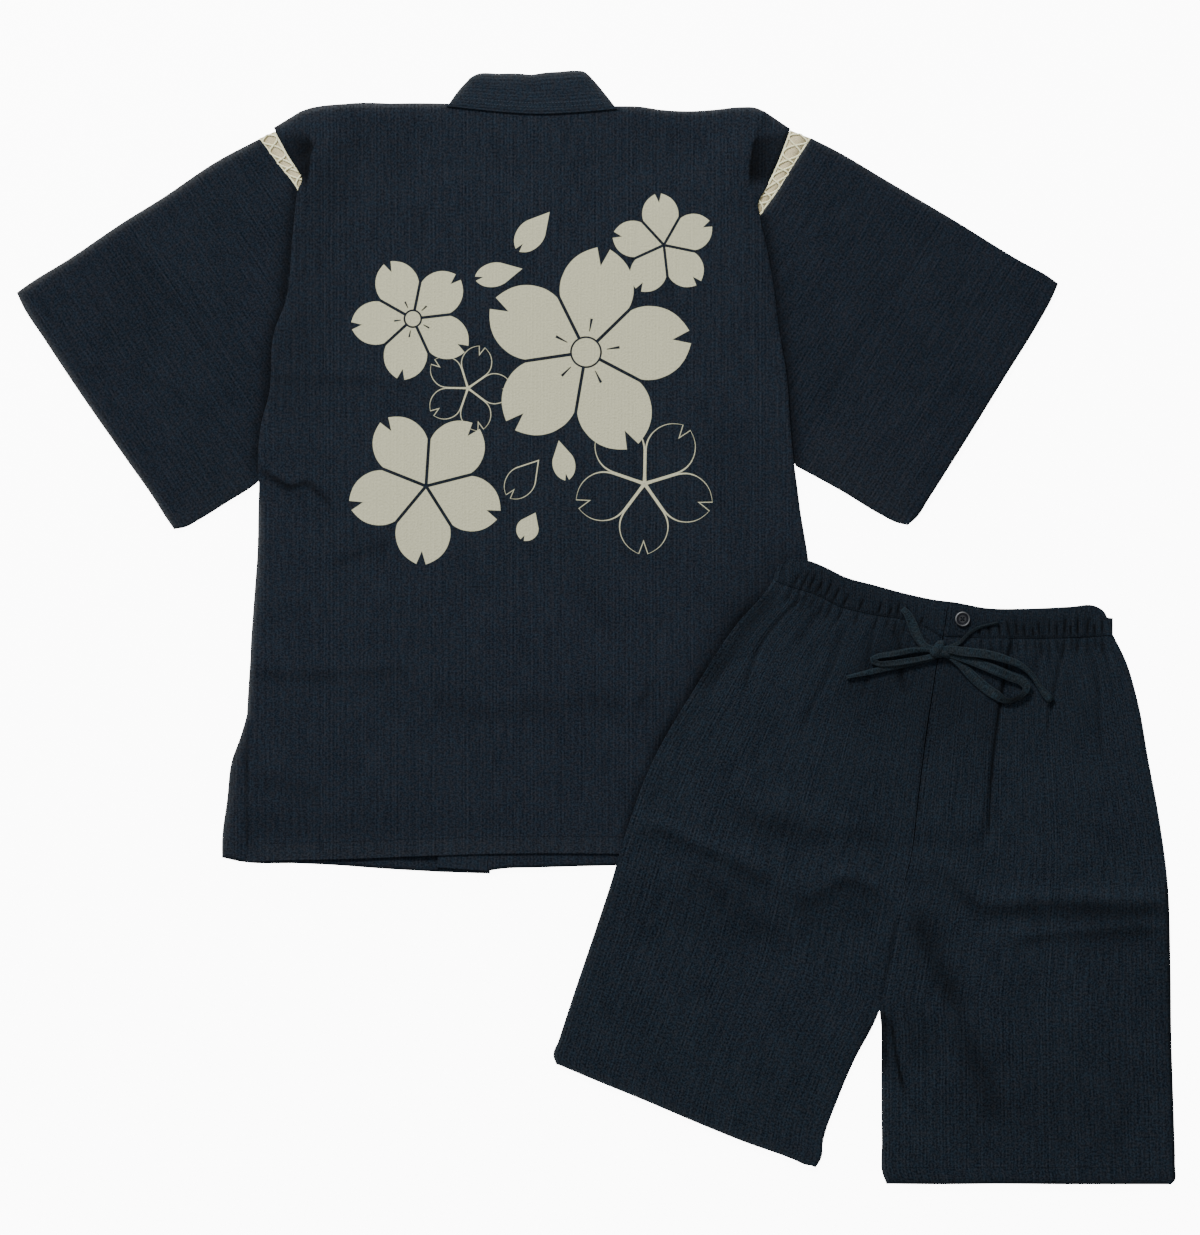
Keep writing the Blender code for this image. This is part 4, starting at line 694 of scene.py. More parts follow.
def blossom_group(petal):
    """Five petals round a centre; Eye is the size of its middle, with five short dashes round it."""
    n, given, out = group_tree(
        "blossom",
        [("Vector", "Vector"), ("Centre", "Vector"), ("Radius", "Float"), ("Turn", "Float"),
         ("Gap", "Float"), ("Eye", "Float")],
        ["Solid", "Line"],
    )
    x, y, _ = n.part(n.vector("SUBTRACT", given["Vector"], given["Centre"]))
    out_far = n.math("SQRT", n.math("ADD", n.math("MULTIPLY", x, x), n.math("MULTIPLY", y, y)))
    angle = n.math("PINGPONG", n.math("SUBTRACT", n.math("ARCTAN2", y, x), given["Turn"]), PETAL_ANGLE)
    along, aside = n.math("MULTIPLY", out_far, n.math("COSINE", angle)), n.math(
        "MULTIPLY", out_far, n.math("SINE", angle)
    )
    share = [n.math("DIVIDE", value, given["Radius"]) for value in (along, aside, given["Gap"])]
    solid = inked(n, petal, *share, given["Radius"], out)
    ring = n.math("ABSOLUTE", n.math("SUBTRACT", out_far, given["Eye"]))
    ringed = n.math("MULTIPLY", n.step(ring, 0.0006, 0.0013), n.step(given["Eye"], 0.0, 0.001), clamp=True)
    plain_eye = n.math("SUBTRACT", 1.0, n.step(given["Eye"], 0.0, 0.001))
    within = n.step(out_far, n.math("SUBTRACT", given["Eye"], 0.0004), given["Eye"], 1.0, 0.0)
    whole = n.math("MAXIMUM", solid, n.math("MULTIPLY", within, n.step(given["Eye"], 0.0, 0.001)))
    start, end = (n.math("MULTIPLY", given["Eye"], share) for share in (1.36, 2.3))
    dash = n.math("MULTIPLY", n.step(along, start, n.math("ADD", start, 0.001)),
                  n.step(along, end, n.math("SUBTRACT", end, 0.001)))
    drop = n.math("MULTIPLY_ADD", n.math("SUBTRACT", along, start), 0.075, 0.0004)
    dash = n.math("MULTIPLY", dash, n.step(n.math("SUBTRACT", drop, aside), -PRINT_SOFT, PRINT_SOFT))
    kept = n.math("SUBTRACT", 1.0, n.math("MULTIPLY", dash, n.step(given["Eye"], 0.0, 0.001)))
    n.feed(out["Solid"], n.math("MULTIPLY", n.math("MULTIPLY", whole, kept),
                                n.math("MAXIMUM", ringed, plain_eye)))
    return n.tree


def stray_group(petal):
    """One loose petal; Turn points from its middle to its pointed tip."""
    n, given, out = group_tree(
        "stray petal",
        [("Vector", "Vector"), ("Centre", "Vector"), ("Length", "Float"), ("Width", "Float"),
         ("Turn", "Float")],
        ["Solid", "Line"],
    )
    x, y, _ = n.part(n.vector("SUBTRACT", given["Vector"], given["Centre"]))
    run, rise = n.math("COSINE", given["Turn"]), n.math("SINE", given["Turn"])
    ahead = n.math("ADD", n.math("MULTIPLY", x, run), n.math("MULTIPLY", y, rise))
    aside = n.math("SUBTRACT", n.math("MULTIPLY", y, run), n.math("MULTIPLY", x, rise))
    along = n.math("SUBTRACT", 0.5, n.math("DIVIDE", ahead, given["Length"]))
    wide = 2 * max(width for _, width in PETAL_WIDTHS)
    aside = n.math("MULTIPLY", n.math("DIVIDE", n.math("ABSOLUTE", aside), given["Width"]), wide)
    n.feed(out["Solid"], inked(n, petal, along, aside, 0.0, given["Length"], out))
    return n.tree


def print_mask(n, place):
    """Where the ink of the blossoms lies on the back panel."""
    petal = petal_group()
    blossom, stray = blossom_group(petal), stray_group(petal)
    mask = None
    for x, y, radius, turn, gap, eye, kind in BLOSSOMS:
        found = n.group(
            blossom, vector=place, centre=(x * MM, y * MM, 0), radius=radius * MM,
            turn=math.radians(turn), gap=gap * MM, eye=eye * MM,
        )[kind]
        mask = found if mask is None else n.math("MAXIMUM", mask, found)
    for x, y, long, wide, turn, kind in STRAY_PETALS:
        found = n.group(
            stray, vector=place, centre=(x * MM, y * MM, 0), length=long * MM, width=wide * MM,
            turn=math.radians(turn),
        )[kind]
        mask = n.math("MAXIMUM", mask, found)
    return mask


def new_material(name):
    made = bpy.data.materials.new(name)
    made.use_nodes = True
    n = Nodes(made.node_tree)
    shader = made.node_tree.nodes["Principled BSDF"]
    return made, n, shader


def flat_place(n):
    return n.add("ShaderNodeUVMap", uv_map=GRAIN).outputs[0]


def bump(n, shader, height, strength=1.0):
    made = n.add("ShaderNodeBump")
    n.feed(made.inputs["Strength"], strength)
    n.feed(made.inputs["Distance"], 1.0)
    n.feed(made.inputs["Height"], height)
    n.feed(shader.inputs["Normal"], made.outputs[0])


def cloth_material(name, dark, light, printed=False, scale=1.0):
    """Cotton with raised stripes and a crepe grain, and the print on it; painted shade and painted rim light
    come from the attribute.
    """
    made, n, shader = new_material(name)
    woven = n.group(WOVEN["striped crepe"], vector=flat_place(n), stripe=sizes().stripe * scale,
                    grain=sizes().grain * scale)
    tone = woven["Tone"]
    hue = n.step(n.noise(flat_place(n), 190.0, 3.0, 0.6), 0.36, 0.64)
    hue = n.mix(hue, COOL_TINT, WARM_TINT)
    shade = n.blend("MULTIPLY", n.mix(tone, (*dark, 1), (*light, 1)), hue)
    if printed:
        place = n.add("ShaderNodeTexCoord").outputs["Object"]
        mask = print_mask(n, place)
        worn = n.noise(place, 900.0, 3.0, 0.7)
        cover = n.math("MULTIPLY", mask, n.step(worn, 0.22, 0.42, 0.55, 1.0))
        cover = n.math("MULTIPLY", cover, n.math("MULTIPLY_ADD", tone, 0.16, 0.86), clamp=True)
        shade = n.mix(cover, shade, (*colours().print_ink, 1))
    # Painted shade: the attribute darkens the cloth in creases, folds and shadows; below 0 it adds painted
    # rim light
    hollow = n.add("ShaderNodeAttribute", attribute_name=PAINTED_LIGHT_AND_SHADE).outputs["Fac"]
    shade = n.blend("MULTIPLY", shade, n.math("SUBTRACT", 1.0, n.math("MAXIMUM", hollow, 0.0)))
    painted_rim_light = n.math("MULTIPLY", n.math("MAXIMUM", n.math("MULTIPLY", hollow, -1.0), 0.0),
                  n.math("MULTIPLY_ADD", tone, 0.9, 0.55))
    shade = n.blend("ADD", shade, n.mix(painted_rim_light, (0, 0, 0, 1), (*colours().painted_rim_light, 1)))
    n.feed(shader.inputs["Base Color"], shade)
    n.feed(shader.inputs["Roughness"], n.math("MULTIPLY_ADD", tone, -0.08, 0.92))
    shader.inputs["Specular IOR Level"].default_value = 0.08
    shader.inputs["Sheen Weight"].default_value = 0.02
    shader.inputs["Sheen Roughness"].default_value = 0.5
    bump(n, shader, woven["Height"])
    return made


def thread_material(name, tint):
    """Spun cotton: a fine twist along each piece."""
    made, n, shader = new_material(name)
    place = n.add("ShaderNodeTexCoord").outputs["Object"]
    fibre = n.noise(place, 1600.0, 3.0, 0.6)
    n.feed(shader.inputs["Base Color"], n.mix(n.step(fibre, 0.3, 0.7), (*(0.7 * c for c in tint), 1),
                                              (*(min(1.0, 1.15 * c) for c in tint), 1)))
    n.feed(shader.inputs["Roughness"], n.math("MULTIPLY_ADD", fibre, -0.15, 0.9))
    shader.inputs["Specular IOR Level"].default_value = 0.1
    bump(n, shader, n.math("MULTIPLY", fibre, 0.0003))
    return made


def button_material():
    """Cast resin with faint swirls: a painted highlight on the polished rim, brighter at two opposite sides,
    a dark ring, and a grey middle whose holes stay dark as painted shade.
    """
    made, n, shader = new_material("resin button")
    place = n.add("ShaderNodeTexCoord").outputs["Object"]
    swirl = n.noise(place, 320.0, 4.0, 0.6)
    x, y, _ = n.part(n.vector("SUBTRACT", place, (BUTTON_AT[0] * MM, BUTTON_AT[1] * MM, 0)))
    round_off = n.math("ADD", n.math("MULTIPLY", x, x), n.math("MULTIPLY", y, y))
    out = n.math("SQRT", round_off)
    half = BUTTON_ACROSS / 2 * MM
    # Painted highlight: the rim is bright, more so at two opposite sides by its turn round the middle
    rim = n.math("MULTIPLY", n.step(out, 0.76 * half, 0.86 * half), n.step(out, 1.0 * half, 0.94 * half))
    painted_glint = n.math("DIVIDE", n.math("MULTIPLY", x, y), n.math("ADD", round_off, 1e-9))
    rim = n.math("MULTIPLY", rim, n.math("MULTIPLY_ADD", painted_glint, -0.8, 0.6))
    middle = n.step(out, 0.52 * half, 0.44 * half)
    # Painted shade: the four holes keep the dark colour within the grey middle
    aside = [n.math("SUBTRACT", n.math("ABSOLUTE", value), BUTTON_HOLE_AT * MM) for value in (x, y)]
    hole = n.math("SQRT", n.math("ADD", *(n.math("MULTIPLY", value, value) for value in aside)))
    middle = n.math("MULTIPLY", middle, n.step(hole, 0.8 * BUTTON_HOLE / 2 * MM, 1.15 * BUTTON_HOLE / 2 * MM))
    dark, light = colours().button, colours().button_rim_highlight
    shade = n.mix(n.math("ADD", rim, n.math("MULTIPLY", middle, 0.14)), (*dark, 1), (*light, 1))
    n.feed(shader.inputs["Base Color"], n.mix(n.math("MULTIPLY", swirl, 0.3), shade, (0, 0, 0, 1)))
    shader.inputs["Specular IOR Level"].default_value = 0.25
    rough = n.math("MULTIPLY_ADD", swirl, 0.2, n.math("MULTIPLY_ADD", rim, -0.14, 0.30))
    n.feed(shader.inputs["Roughness"], rough)
    bump(n, shader, n.math("MULTIPLY", swirl, 0.0002))
    return made


COOL_TINT, WARM_TINT = (0.87, 1.02, 1.08, 1), (1.15, 0.97, 0.90, 1)  # between them the dye varies
WOVEN = {}
MATERIALS = {}


def make_materials():
    """All the finishes, made once; the pieces take them by name."""
    c = colours()
    WOVEN["striped crepe"] = weave_group()
    MATERIALS.update({
        "jacket": cloth_material("jacket cotton, printed", c.jacket_dark, c.jacket_light, printed=True),
        "jacket plain": cloth_material("jacket cotton", c.jacket_dark, c.jacket_light),
        "sleeve": cloth_material("sleeve cotton", c.sleeve_dark, c.sleeve_light),
        "shorts": cloth_material("shorts cotton", c.shorts_dark, c.shorts_light),
        "collar": cloth_material("neckband cotton", c.collar_dark, c.collar_light),
        "cord": cloth_material("drawstring cotton", c.cord_dark, c.cord_light, scale=0.5),
        "lace": thread_material("lace cotton", c.lace),
        # the darker net stands for the lower cords and for painted shade in the lace's gaps
        "lace net and shade": thread_material("lace net", c.lace_net_and_shade),
        "thread": thread_material("sewing thread", c.thread),
        "thread light": thread_material("neckband thread", c.thread_light),
        "button": button_material(),
    })

# ---------------------------------------------------------------- lines, layers and relief


def smooth(x):
    """From 0 to 1 with level ends."""
    x = np.clip(x, 0, 1)
    return x * x * (3 - 2 * x)


def spline(knots, values, at):
    """A cubic through the values at the knots, which rise."""
    knots, values, at = (np.asarray(a, float) for a in (knots, values, at))
    slopes = np.gradient(values, knots)
    i = np.clip(np.searchsorted(knots, at, side="right") - 1, 0, len(knots) - 2)
    step = knots[i + 1] - knots[i]
    u = (at - knots[i]) / step
    return (
        (2 * u**3 - 3 * u**2 + 1) * values[i]
        + (u**3 - 2 * u**2 + u) * step * slopes[i]
        + (3 * u**2 - 2 * u**3) * values[i + 1]
        + (u**3 - u**2) * step * slopes[i + 1]
    )


def through(points, at):
    """Points on the smooth line through the given ones, at shares of its length."""
    points = np.array(points, float)
    length = np.concatenate([[0], np.cumsum(np.linalg.norm(np.diff(points, axis=0), axis=1))])
    return np.stack([spline(length / length[-1], column, at) for column in points.T], axis=-1)


def folds(table, x, y):
    """The height that the folds add at a place: each is a ridge that dies away at its ends."""
    total = np.zeros_like(x)
    for x0, y0, x1, y1, half_width, height in table:
        run = np.array([x1 - x0, y1 - y0], float)
        long = np.hypot(*run)
        run /= long
        ahead = (x - x0) * run[0] + (y - y0) * run[1]
        aside = (x - x0) * run[1] - (y - y0) * run[0]
        beyond = np.maximum(0, np.abs(ahead - long / 2) - long / 2)
        total = np.maximum(total, height * np.exp(-((aside / half_width) ** 2 + (beyond / 16) ** 2)))
    return total


def plain(left, right, bottom, top, across, along):
    """Points in plan between four curves: side lines from bottom to top, cross lines from left to right."""
    s, t = across[None, :, None], along[:, None, None]
    a, b = through(left, along)[:, None], through(right, along)[:, None]
    c, d = through(bottom, across)[None], through(top, across)[None]
    corners = (
        (1 - s) * (1 - t) * c[:, :1] + s * (1 - t) * c[:, -1:] + (1 - s) * t * d[:, :1] + s * t * d[:, -1:]
    )
    return (1 - s) * a + s * b + (1 - t) * c + t * d - corners


def front_lift(x, y):
    """How far the right front stands off the floor: it steps over the left one."""
    return STEP * smooth((478 - y) / 60) * smooth((164 - x) / 60)


def back_height(x, y):
    """The middle of the back panel over the fronts, away from its folds."""
    return LOFT + front_lift(x, y) + folds(BACK_FOLDS, x, y)


def shorts_floor(x, y):
    """What the shorts lie on: the jacket's corner, then the floor."""
    side = np.interp(-y, [-140, -68, 12, 94, 162, 240], [203, 213, 217, 220, 223, 225])
    hem = np.interp(x, [-160, 24, 104, 230], [-237, -237, -237, -236])
    beyond = np.hypot(np.maximum(0, x - side - 6), np.maximum(0, hem - y - 6))
    return JACKET_TOP * smooth(1 - beyond / RAMP)


def fly_line(y):
    points = np.array(CENTRE + [FLY_TOP], float)
    return np.interp(y, points[:, 1], points[:, 0])


def fly_rise(x, y, lead=3.0):
    """How far the left front stands up over the fly's underlap, as far as the pleat beside it."""
    beyond = x - fly_line(y)
    up = smooth((beyond + lead) / lead)
    down = smooth((FLY_PLEAT + 6 - beyond) / 8)
    return FLY_RISE * up * down * smooth((y - FLY_FOOT) / 24)


def waist_lift(x, y):
    """How much higher the front stands at the waist, running out down the legs."""
    casing = np.array(CASING, float)
    below = np.interp(x, casing[:, 0], casing[:, 1]) - y
    return WAIST_LIFT * smooth(1 - below / 90)


def shorts_front(x, y):
    """The middle of the shorts' front panels, without the fly."""
    return shorts_floor(x, y) + CLOTH / 2 + SHORTS_LOFT + waist_lift(x, y) + folds(SHORTS_FOLDS, x, y)


def sections(table, at):
    """The columns of a side table at the keys that run from its last row to its first."""
    rows = np.array(table[::-1], float)
    key = rows[0, 0] + at * (rows[-1, 0] - rows[0, 0])
    return {name: spline(rows[:, 0], rows[:, i], key) for i, name in enumerate(BACK_COLUMNS)}


def roll_stations(count):
    """Stations across a rolled edge, upright at its end: shares of its width and of its height."""
    q = np.linspace(0, math.pi / 2, count)[:-1]
    return np.append(0, 1 - np.cos(q)), np.append(0, 0.16 + 0.84 * np.sin(q))


def sewn(edge_left, fold_left, fold_right, edge_right, inner, top, bottom, along, spread=False):
    """A panel's points in plan and, for each, the share of its layer's height that it has.

    The four side lines have a point for each row. Between an edge and its fold lie the stations of a roll,
    or, with spread, those of a wider slope where the two are far apart.
    """
    count = ROLL_ROWS
    out, up = roll_stations(count)
    steps = np.linspace(0, 1, count + 1)[:-1]
    wide_out = spline([0, 0.25, 0.5, 0.75, 1], [0, 0.42, 0.78, 0.93, 1], steps)
    wide_up = spline([0, 0.25, 0.5, 0.75, 1], [0, 0.06, 0.16, 0.55, 1], steps)
    across = np.linspace(0, 1, inner + 1)[:, None]
    rows = []
    lifts = []
    for i in range(len(along)):
        parts = []
        for edge, fold in ((edge_left[i], fold_left[i]), (edge_right[i], fold_right[i])):
            share = float(np.clip((np.linalg.norm(edge - fold) - 8) / 12, 0, 1)) if spread else 0.0
            o = out * (1 - share) + wide_out * share
            u = up * (1 - share) + wide_up * share
            parts.append((edge + (fold - edge) * o[:, None], u))
        middle = fold_left[i] * (1 - across) + fold_right[i] * across
        rows.append(np.concatenate([parts[0][0], middle, parts[1][0][::-1]]))
        lifts.append(np.concatenate([parts[0][1], np.ones(inner + 1), parts[1][1][::-1]]))
    plan, lift = np.array(rows), np.array(lifts)
    for curve, weight, row in ((top, along, -1), (bottom, 1 - along, 0)):
        ends = plan[row, count], plan[row, -count - 1]
        chord = ends[0] * (1 - across) + ends[1] * across
        long = np.linalg.norm(np.diff(np.array(curve, float), axis=0), axis=1).sum()
        cut = 0 if spread else ROLL / long
        line = through(curve, cut + (1 - 2 * cut) * across[:, 0])
        near = long / CORNER
        line = line + (ends[0] - line[0]) * (1 - across) ** near + (ends[1] - line[-1]) * across**near
        plan[:, count:-count] += weight[:, None, None] * (line - chord)
    return plan, lift


def nearest(line, x, y):
    """How far each place is from a line, how far along it, on which side (1 is the left), and its length."""
    line = through(line, np.linspace(0, 1, 5 * len(line)))
    steps = np.diff(line, axis=0)
    long = np.linalg.norm(steps, axis=1)
    start = np.concatenate([[0], np.cumsum(long)])
    best = np.full(x.shape, 1e9)
    place, side = np.zeros_like(x), np.ones_like(x)
    for (ax, ay), (dx, dy), piece, before in zip(line[:-1], steps, long, start[:-1]):
        share = np.clip(((x - ax) * dx + (y - ay) * dy) / piece**2, 0, 1)
        away = np.hypot(x - ax - share * dx, y - ay - share * dy)
        near = away < best
        best = np.where(near, away, best)
        place = np.where(near, before + share * piece, place)
        side = np.where(near, np.sign(dx * (y - ay) - dy * (x - ax)), side)
    return best, place, side, start[-1]


def rims(piece, x, y):
    """The painted highlight beside a piece's edges, from the table of rims; below 0 it is painted shade."""
    pale = np.zeros_like(x)
    for strength, reach, line in RIMS[piece]:
        best, place, _, long = nearest(line, x, y)
        ends = smooth(place / 12 + 0.3) * smooth((long - place) / 12 + 0.3)
        pale += strength * ends * np.exp(-best / reach)
    return np.clip(pale, -0.55, RIM_MOST)


def creases(table, x, y):
    """The height that a table of creases adds, and the share of painted shade that darkens their hollows."""
    high, dark = np.zeros_like(x), np.zeros_like(x)
    for half_width, height, shade, line in table:
        best, place, side, long = nearest(line, x, y)
        fade = min(0.4 * long, 26.0)
        ends = smooth(place / fade + 0.15) * smooth((long - place) / fade + 0.15)
        ends = ends * (0.85 + 0.15 * np.sin(place / 11 + half_width))
        crest = 0.8 * half_width if height > 0 else 0
        high += height * ends * np.exp(-(((best * side - crest) / half_width) ** 2))
        dark += shade * ends * np.exp(-((best / (0.75 * half_width)) ** 2))
    return high, np.clip(dark, 0, 0.88)


def hills(table, x, y, stretch=1.0):
    """Random hills, each from a lattice of its own."""
    total = np.zeros_like(x)
    for size, height, seed in table:
        lattice = np.random.default_rng(seed).uniform(-1, 1, (64, 64))
        u, v = x / size + 20, y / (size * stretch) + 20
        i, j = np.floor(u).astype(int), np.floor(v).astype(int)
        a, b = (t * t * t * (t * (6 * t - 15) + 10) for t in (u - i, v - j))
        corner = [lattice[(i + p) % 64, (j + q) % 64] for p in (0, 1) for q in (0, 1)]
        low = corner[0] * (1 - b) + corner[1] * b
        high = corner[2] * (1 - b) + corner[3] * b
        total += height * (low * (1 - a) + high * a)
    return total


def spaced(long, first=(), last=(), finer=1.0):
    """Shares of a length: some given distances from its ends, and even steps between them."""
    step = sizes().spacing / MM / finer
    low, high = (first[-1] if first else 0), long - (last[0] if last else 0)
    even = np.linspace(low, high, max(2, round((high - low) / step) + 1))
    parts = [np.array(first[:-1], float), even, long - np.array(last[1:], float)]
    if first:
        parts[0] = np.concatenate([[0], parts[0]])
    if last:
        parts[2] = np.concatenate([parts[2], [long]])
    return np.concatenate(parts) / long


def grid_flat(plan):
    """Each grid point's place on the flat cloth: its distance along its row and up its column."""
    across = np.linalg.norm(np.diff(plan, axis=1), axis=2).mean(axis=0)
    up = np.linalg.norm(np.diff(plan, axis=0), axis=2).mean(axis=1)
    u, v = np.concatenate([[0], np.cumsum(across)]), np.concatenate([[0], np.cumsum(up)])
    return np.dstack(np.meshgrid(u, v))


def with_height(plan, height):
    """Points in plan lifted to a height, given as a number or an array."""
    return np.dstack([plan, np.broadcast_to(height, plan.shape[:2])])


# ---------------------------------------------------------------- making the pieces


def grid_mesh(name, points, grain, tube=False, closed_ends=False, hollow=0.0):
    """A mesh through a grid of points in millimetres, with its place on the flat cloth as a UV map."""
    rows, columns = points.shape[:2]
    bm = bmesh.new()
    bmesh.ops.create_grid(bm, x_segments=columns - 1, y_segments=rows - 1, size=1)
    mesh = bpy.data.meshes.new(name)
    bm.to_mesh(mesh)
    bm.free()
    at = np.empty(len(mesh.vertices) * 3, np.float32)
    mesh.vertices.foreach_get("co", at)
    at = at.reshape(-1, 3)
    i = np.rint((at[:, 1] + 1) / 2 * (rows - 1)).astype(int)
    j = np.rint((at[:, 0] + 1) / 2 * (columns - 1)).astype(int)
    mesh.vertices.foreach_set("co", (points[i, j] * MM).astype(np.float32).ravel())
    while mesh.uv_layers:
        mesh.uv_layers.remove(mesh.uv_layers[0])
    layer = mesh.uv_layers.new(name=GRAIN)
    corner = np.empty(len(mesh.loops), np.int32)
    mesh.loops.foreach_get("vertex_index", corner)
    layer.uv.foreach_set("vector", (grain[i, j] * MM).astype(np.float32)[corner].ravel())
    # The painted shade at each point; below 0, painted rim light
    dark = mesh.attributes.new(PAINTED_LIGHT_AND_SHADE, "FLOAT", "POINT")
    dark.data.foreach_set("value", np.broadcast_to(hollow, (rows, columns))[i, j].astype(np.float32))
    if tube:
        bm = bmesh.new()
        bm.from_mesh(mesh)
        bmesh.ops.remove_doubles(bm, verts=bm.verts, dist=0.000005)
        if closed_ends:
            bmesh.ops.holes_fill(bm, edges=[e for e in bm.edges if e.is_boundary], sides=0)
        bmesh.ops.recalc_face_normals(bm, faces=bm.faces)
        bm.to_mesh(mesh)
        bm.free()
    mesh.update()
    return mesh, (i, j)


def dress(name, mesh, finishes, nodes=()):
    """Puts a finished mesh in the scene on the body, in place of the nodes that it stands for."""
    for finish in finishes:
        mesh.materials.append(MATERIALS[finish])
    mesh.shade_smooth()
    made = bpy.data.objects.new(name, mesh)
    bpy.context.collection.objects.link(made)
    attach(made, "root")
    if nodes:
        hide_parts(*nodes)
    return made


def cloth(node, points, grain, finishes, wall, hem=None, tube=False, hollow=0.0):
    """A cloth piece: a thin wall through a grid of points, thicker by the share in hem, in a node's place."""
    name = f"{node}_cloth"
    mesh, (i, j) = grid_mesh(name, points, grain, tube=tube, hollow=hollow)
    made = dress(name, mesh, finishes, [node])
    solidify = made.modifiers.new("wall", "SOLIDIFY")
    solidify.offset = 0
    solidify.thickness = wall
    if len(finishes) > 1:
        solidify.material_offset = 1
    if hem is not None and not tube:
        solidify.thickness = sizes().hem_wall
        solidify.thickness_vertex_group = wall / sizes().hem_wall
        group = made.vertex_groups.new(name="hem")
        for share in np.unique(np.round(hem, 2)):
            if share > 0:
                group.add(np.flatnonzero(np.round(hem, 2)[i, j] == share).tolist(), float(share), "REPLACE")
        solidify.vertex_group = "hem"
    return made


# ---------------------------------------------------------------- the jacket


def jacket_back():
    """The back panel, over the fronts, with its print."""
    long = BACK_LENGTH
    out, up = roll_stations(ROLL_ROWS)
    along = spaced(long - ROLL, first=(EDGE, 3)) * (1 - ROLL / long)
    along = np.concatenate([along[:-1], 1 - out[::-1] * ROLL / long])
    left, right = sections(BACK_LEFT, along), sections(BACK_RIGHT, along)
    lines = [
        np.stack([side[f"{line}_x"], side[f"{line}_y"]], axis=-1)
        for side, line in ((left, "edge"), (left, "fold"), (right, "fold"), (right, "edge"))
    ]
    inner = round(545 * MM / sizes().spacing)
    plan, lift = sewn(*lines, inner, SHOULDERS, BACK_HEM, along, spread=True)
    x, y = plan[..., 0], plan[..., 1]
    base = back_height(x, y)
    for side, line in ((left, lines[1]), (right, lines[2])):
        share = np.exp(-(((x - line[:, :1]) / 42) ** 2))
        base = base * (1 - share) + np.maximum(base, side["crest"][:, None]) * share
    neck = smooth((x - NECK[0] + 6) / 12) * smooth((NECK[1] + 6 - x) / 12)
    base = base - NECK_DIP * neck * smooth((y - 480) / 30)
    sink = HEM_SINK + HEM_SINK_LEFT * smooth((-165 - x) / 40)
    base = base - sink * (1 - smooth(along * long / 60))[:, None]
    rise = np.concatenate([np.ones(len(along) - ROLL_ROWS), up[::-1]])[:, None]
    rise = rise + (1 - rise) * neck
    half = np.arange(x.shape[1]) < x.shape[1] / 2
    rim = np.where(half, left["rim"][:, None], right["rim"][:, None])
    low = RIM_ON_FRONT + (rim - RIM_ON_FRONT) * rise
    relief, dark = creases(JACKET_CREASES, x, y)
    relief = relief + hills(JACKET_HILLS, x, y)
    # Painted shadow beside the shorts' edge and along the back's open side
    _, beside_shorts = creases([(9, 0, 0.55, OUTER_RIGHT[6:]), (3.4, 0, 0.6, BACK_SLIT)], x, y)
    dark = dark + beside_shorts
    under_shorts = smooth((shorts_floor(x, y) - 0.5) / 3)
    relief = relief * (1 - under_shorts) * (1 - 0.6 * neck * smooth((y - 480) / 30))
    height = low + (base + np.maximum(relief, -1.0) - low) * lift * rise
    hem = (along * long < HEM_DEPTH)[:, None] * np.ones(x.shape[1])
    # Painted highlight along the hem, and painted shade on the flaps beside the folds
    pale = HEM_RIM_LIGHT * smooth((HEM_DEPTH - along * long) / 5)[:, None]
    flap = beside_folds(x, y, "fold") * smooth((y - 435) / 20)
    cloth("jacket_back", with_height(plan, height), plan, ["jacket", "jacket plain"],
          sizes().wall, hem=hem,
          hollow=np.clip(dark + flap, 0, 0.8) - pale - rims("jacket_back", x, y))


def beside_folds(x, y, line):
    """The painted shade outside the back panel's two folds or edges, above the underarm: how much darker the
    cloth is.
    """
    shade, wide, top = FOLD_SHADES[line]
    column = BACK_COLUMNS.index(f"{line}_x")
    dark = np.zeros_like(x)
    for table, way in ((BACK_LEFT, -1), (BACK_RIGHT, 1)):
        rows = np.array(table[::-1], float)
        away = way * (x - np.interp(y, rows[:, 0], rows[:, column]))
        near = np.where(away > -1, np.exp(-((np.maximum(away, 0) / wide) ** 2)), 0)
        dark = dark + shade * near * smooth((y - 140) / 30) * smooth((top - y) / 15)
    return dark


def side_and_armhole(side, lace_table, way):
    """The outer line of a front: its side seam, then along the lace's body edge up to the shoulder."""
    body_edge = through(np.array(lace_table, float)[:, 2:], np.linspace(1, 0, 24))
    return np.concatenate([side, body_edge + (way * 7 * SEAM, 0)])


def jacket_fronts():
    """The two fronts, the right one stepped over the left one."""
    grid = spaced(250, first=(EDGE,), last=(EDGE,))[::2], spaced(760, first=(EDGE,), last=(EDGE,))[::2]
    grid = [np.unique(np.append(shares, 1.0)) for shares in grid]
    left_side = side_and_armhole(FRONT_LEFT_SIDE, LACE_LEFT, 1)
    right_side = side_and_armhole(FRONT_RIGHT_SIDE, LACE_RIGHT, -1)
    left = plain(left_side, FRONT_LEFT_SEAM, FRONT_LEFT_HEM, FRONT_LEFT_SHOULDER, *grid)
    right = plain(FRONT_RIGHT_SEAM, right_side, FRONT_RIGHT_HEM, FRONT_RIGHT_SHOULDER, *grid)
    for name, plan, beneath in (("left", left, "floor"), ("right", right, "jacket_front_left_cloth")):
        x, y = plan[..., 0], plan[..., 1]
        lift = front_lift(x, y) if name == "right" else 0
        relief = hills(HIDDEN_HILLS, x, y)
        # Painted highlight along the left front's side, from the table of rims
        cloth(f"jacket_front_{name}", with_height(plan, CLOTH / 2 + lift + relief), plan, ["jacket plain"],
              sizes().wall, hollow=-rims(f"jacket_front_{name}", x, y))


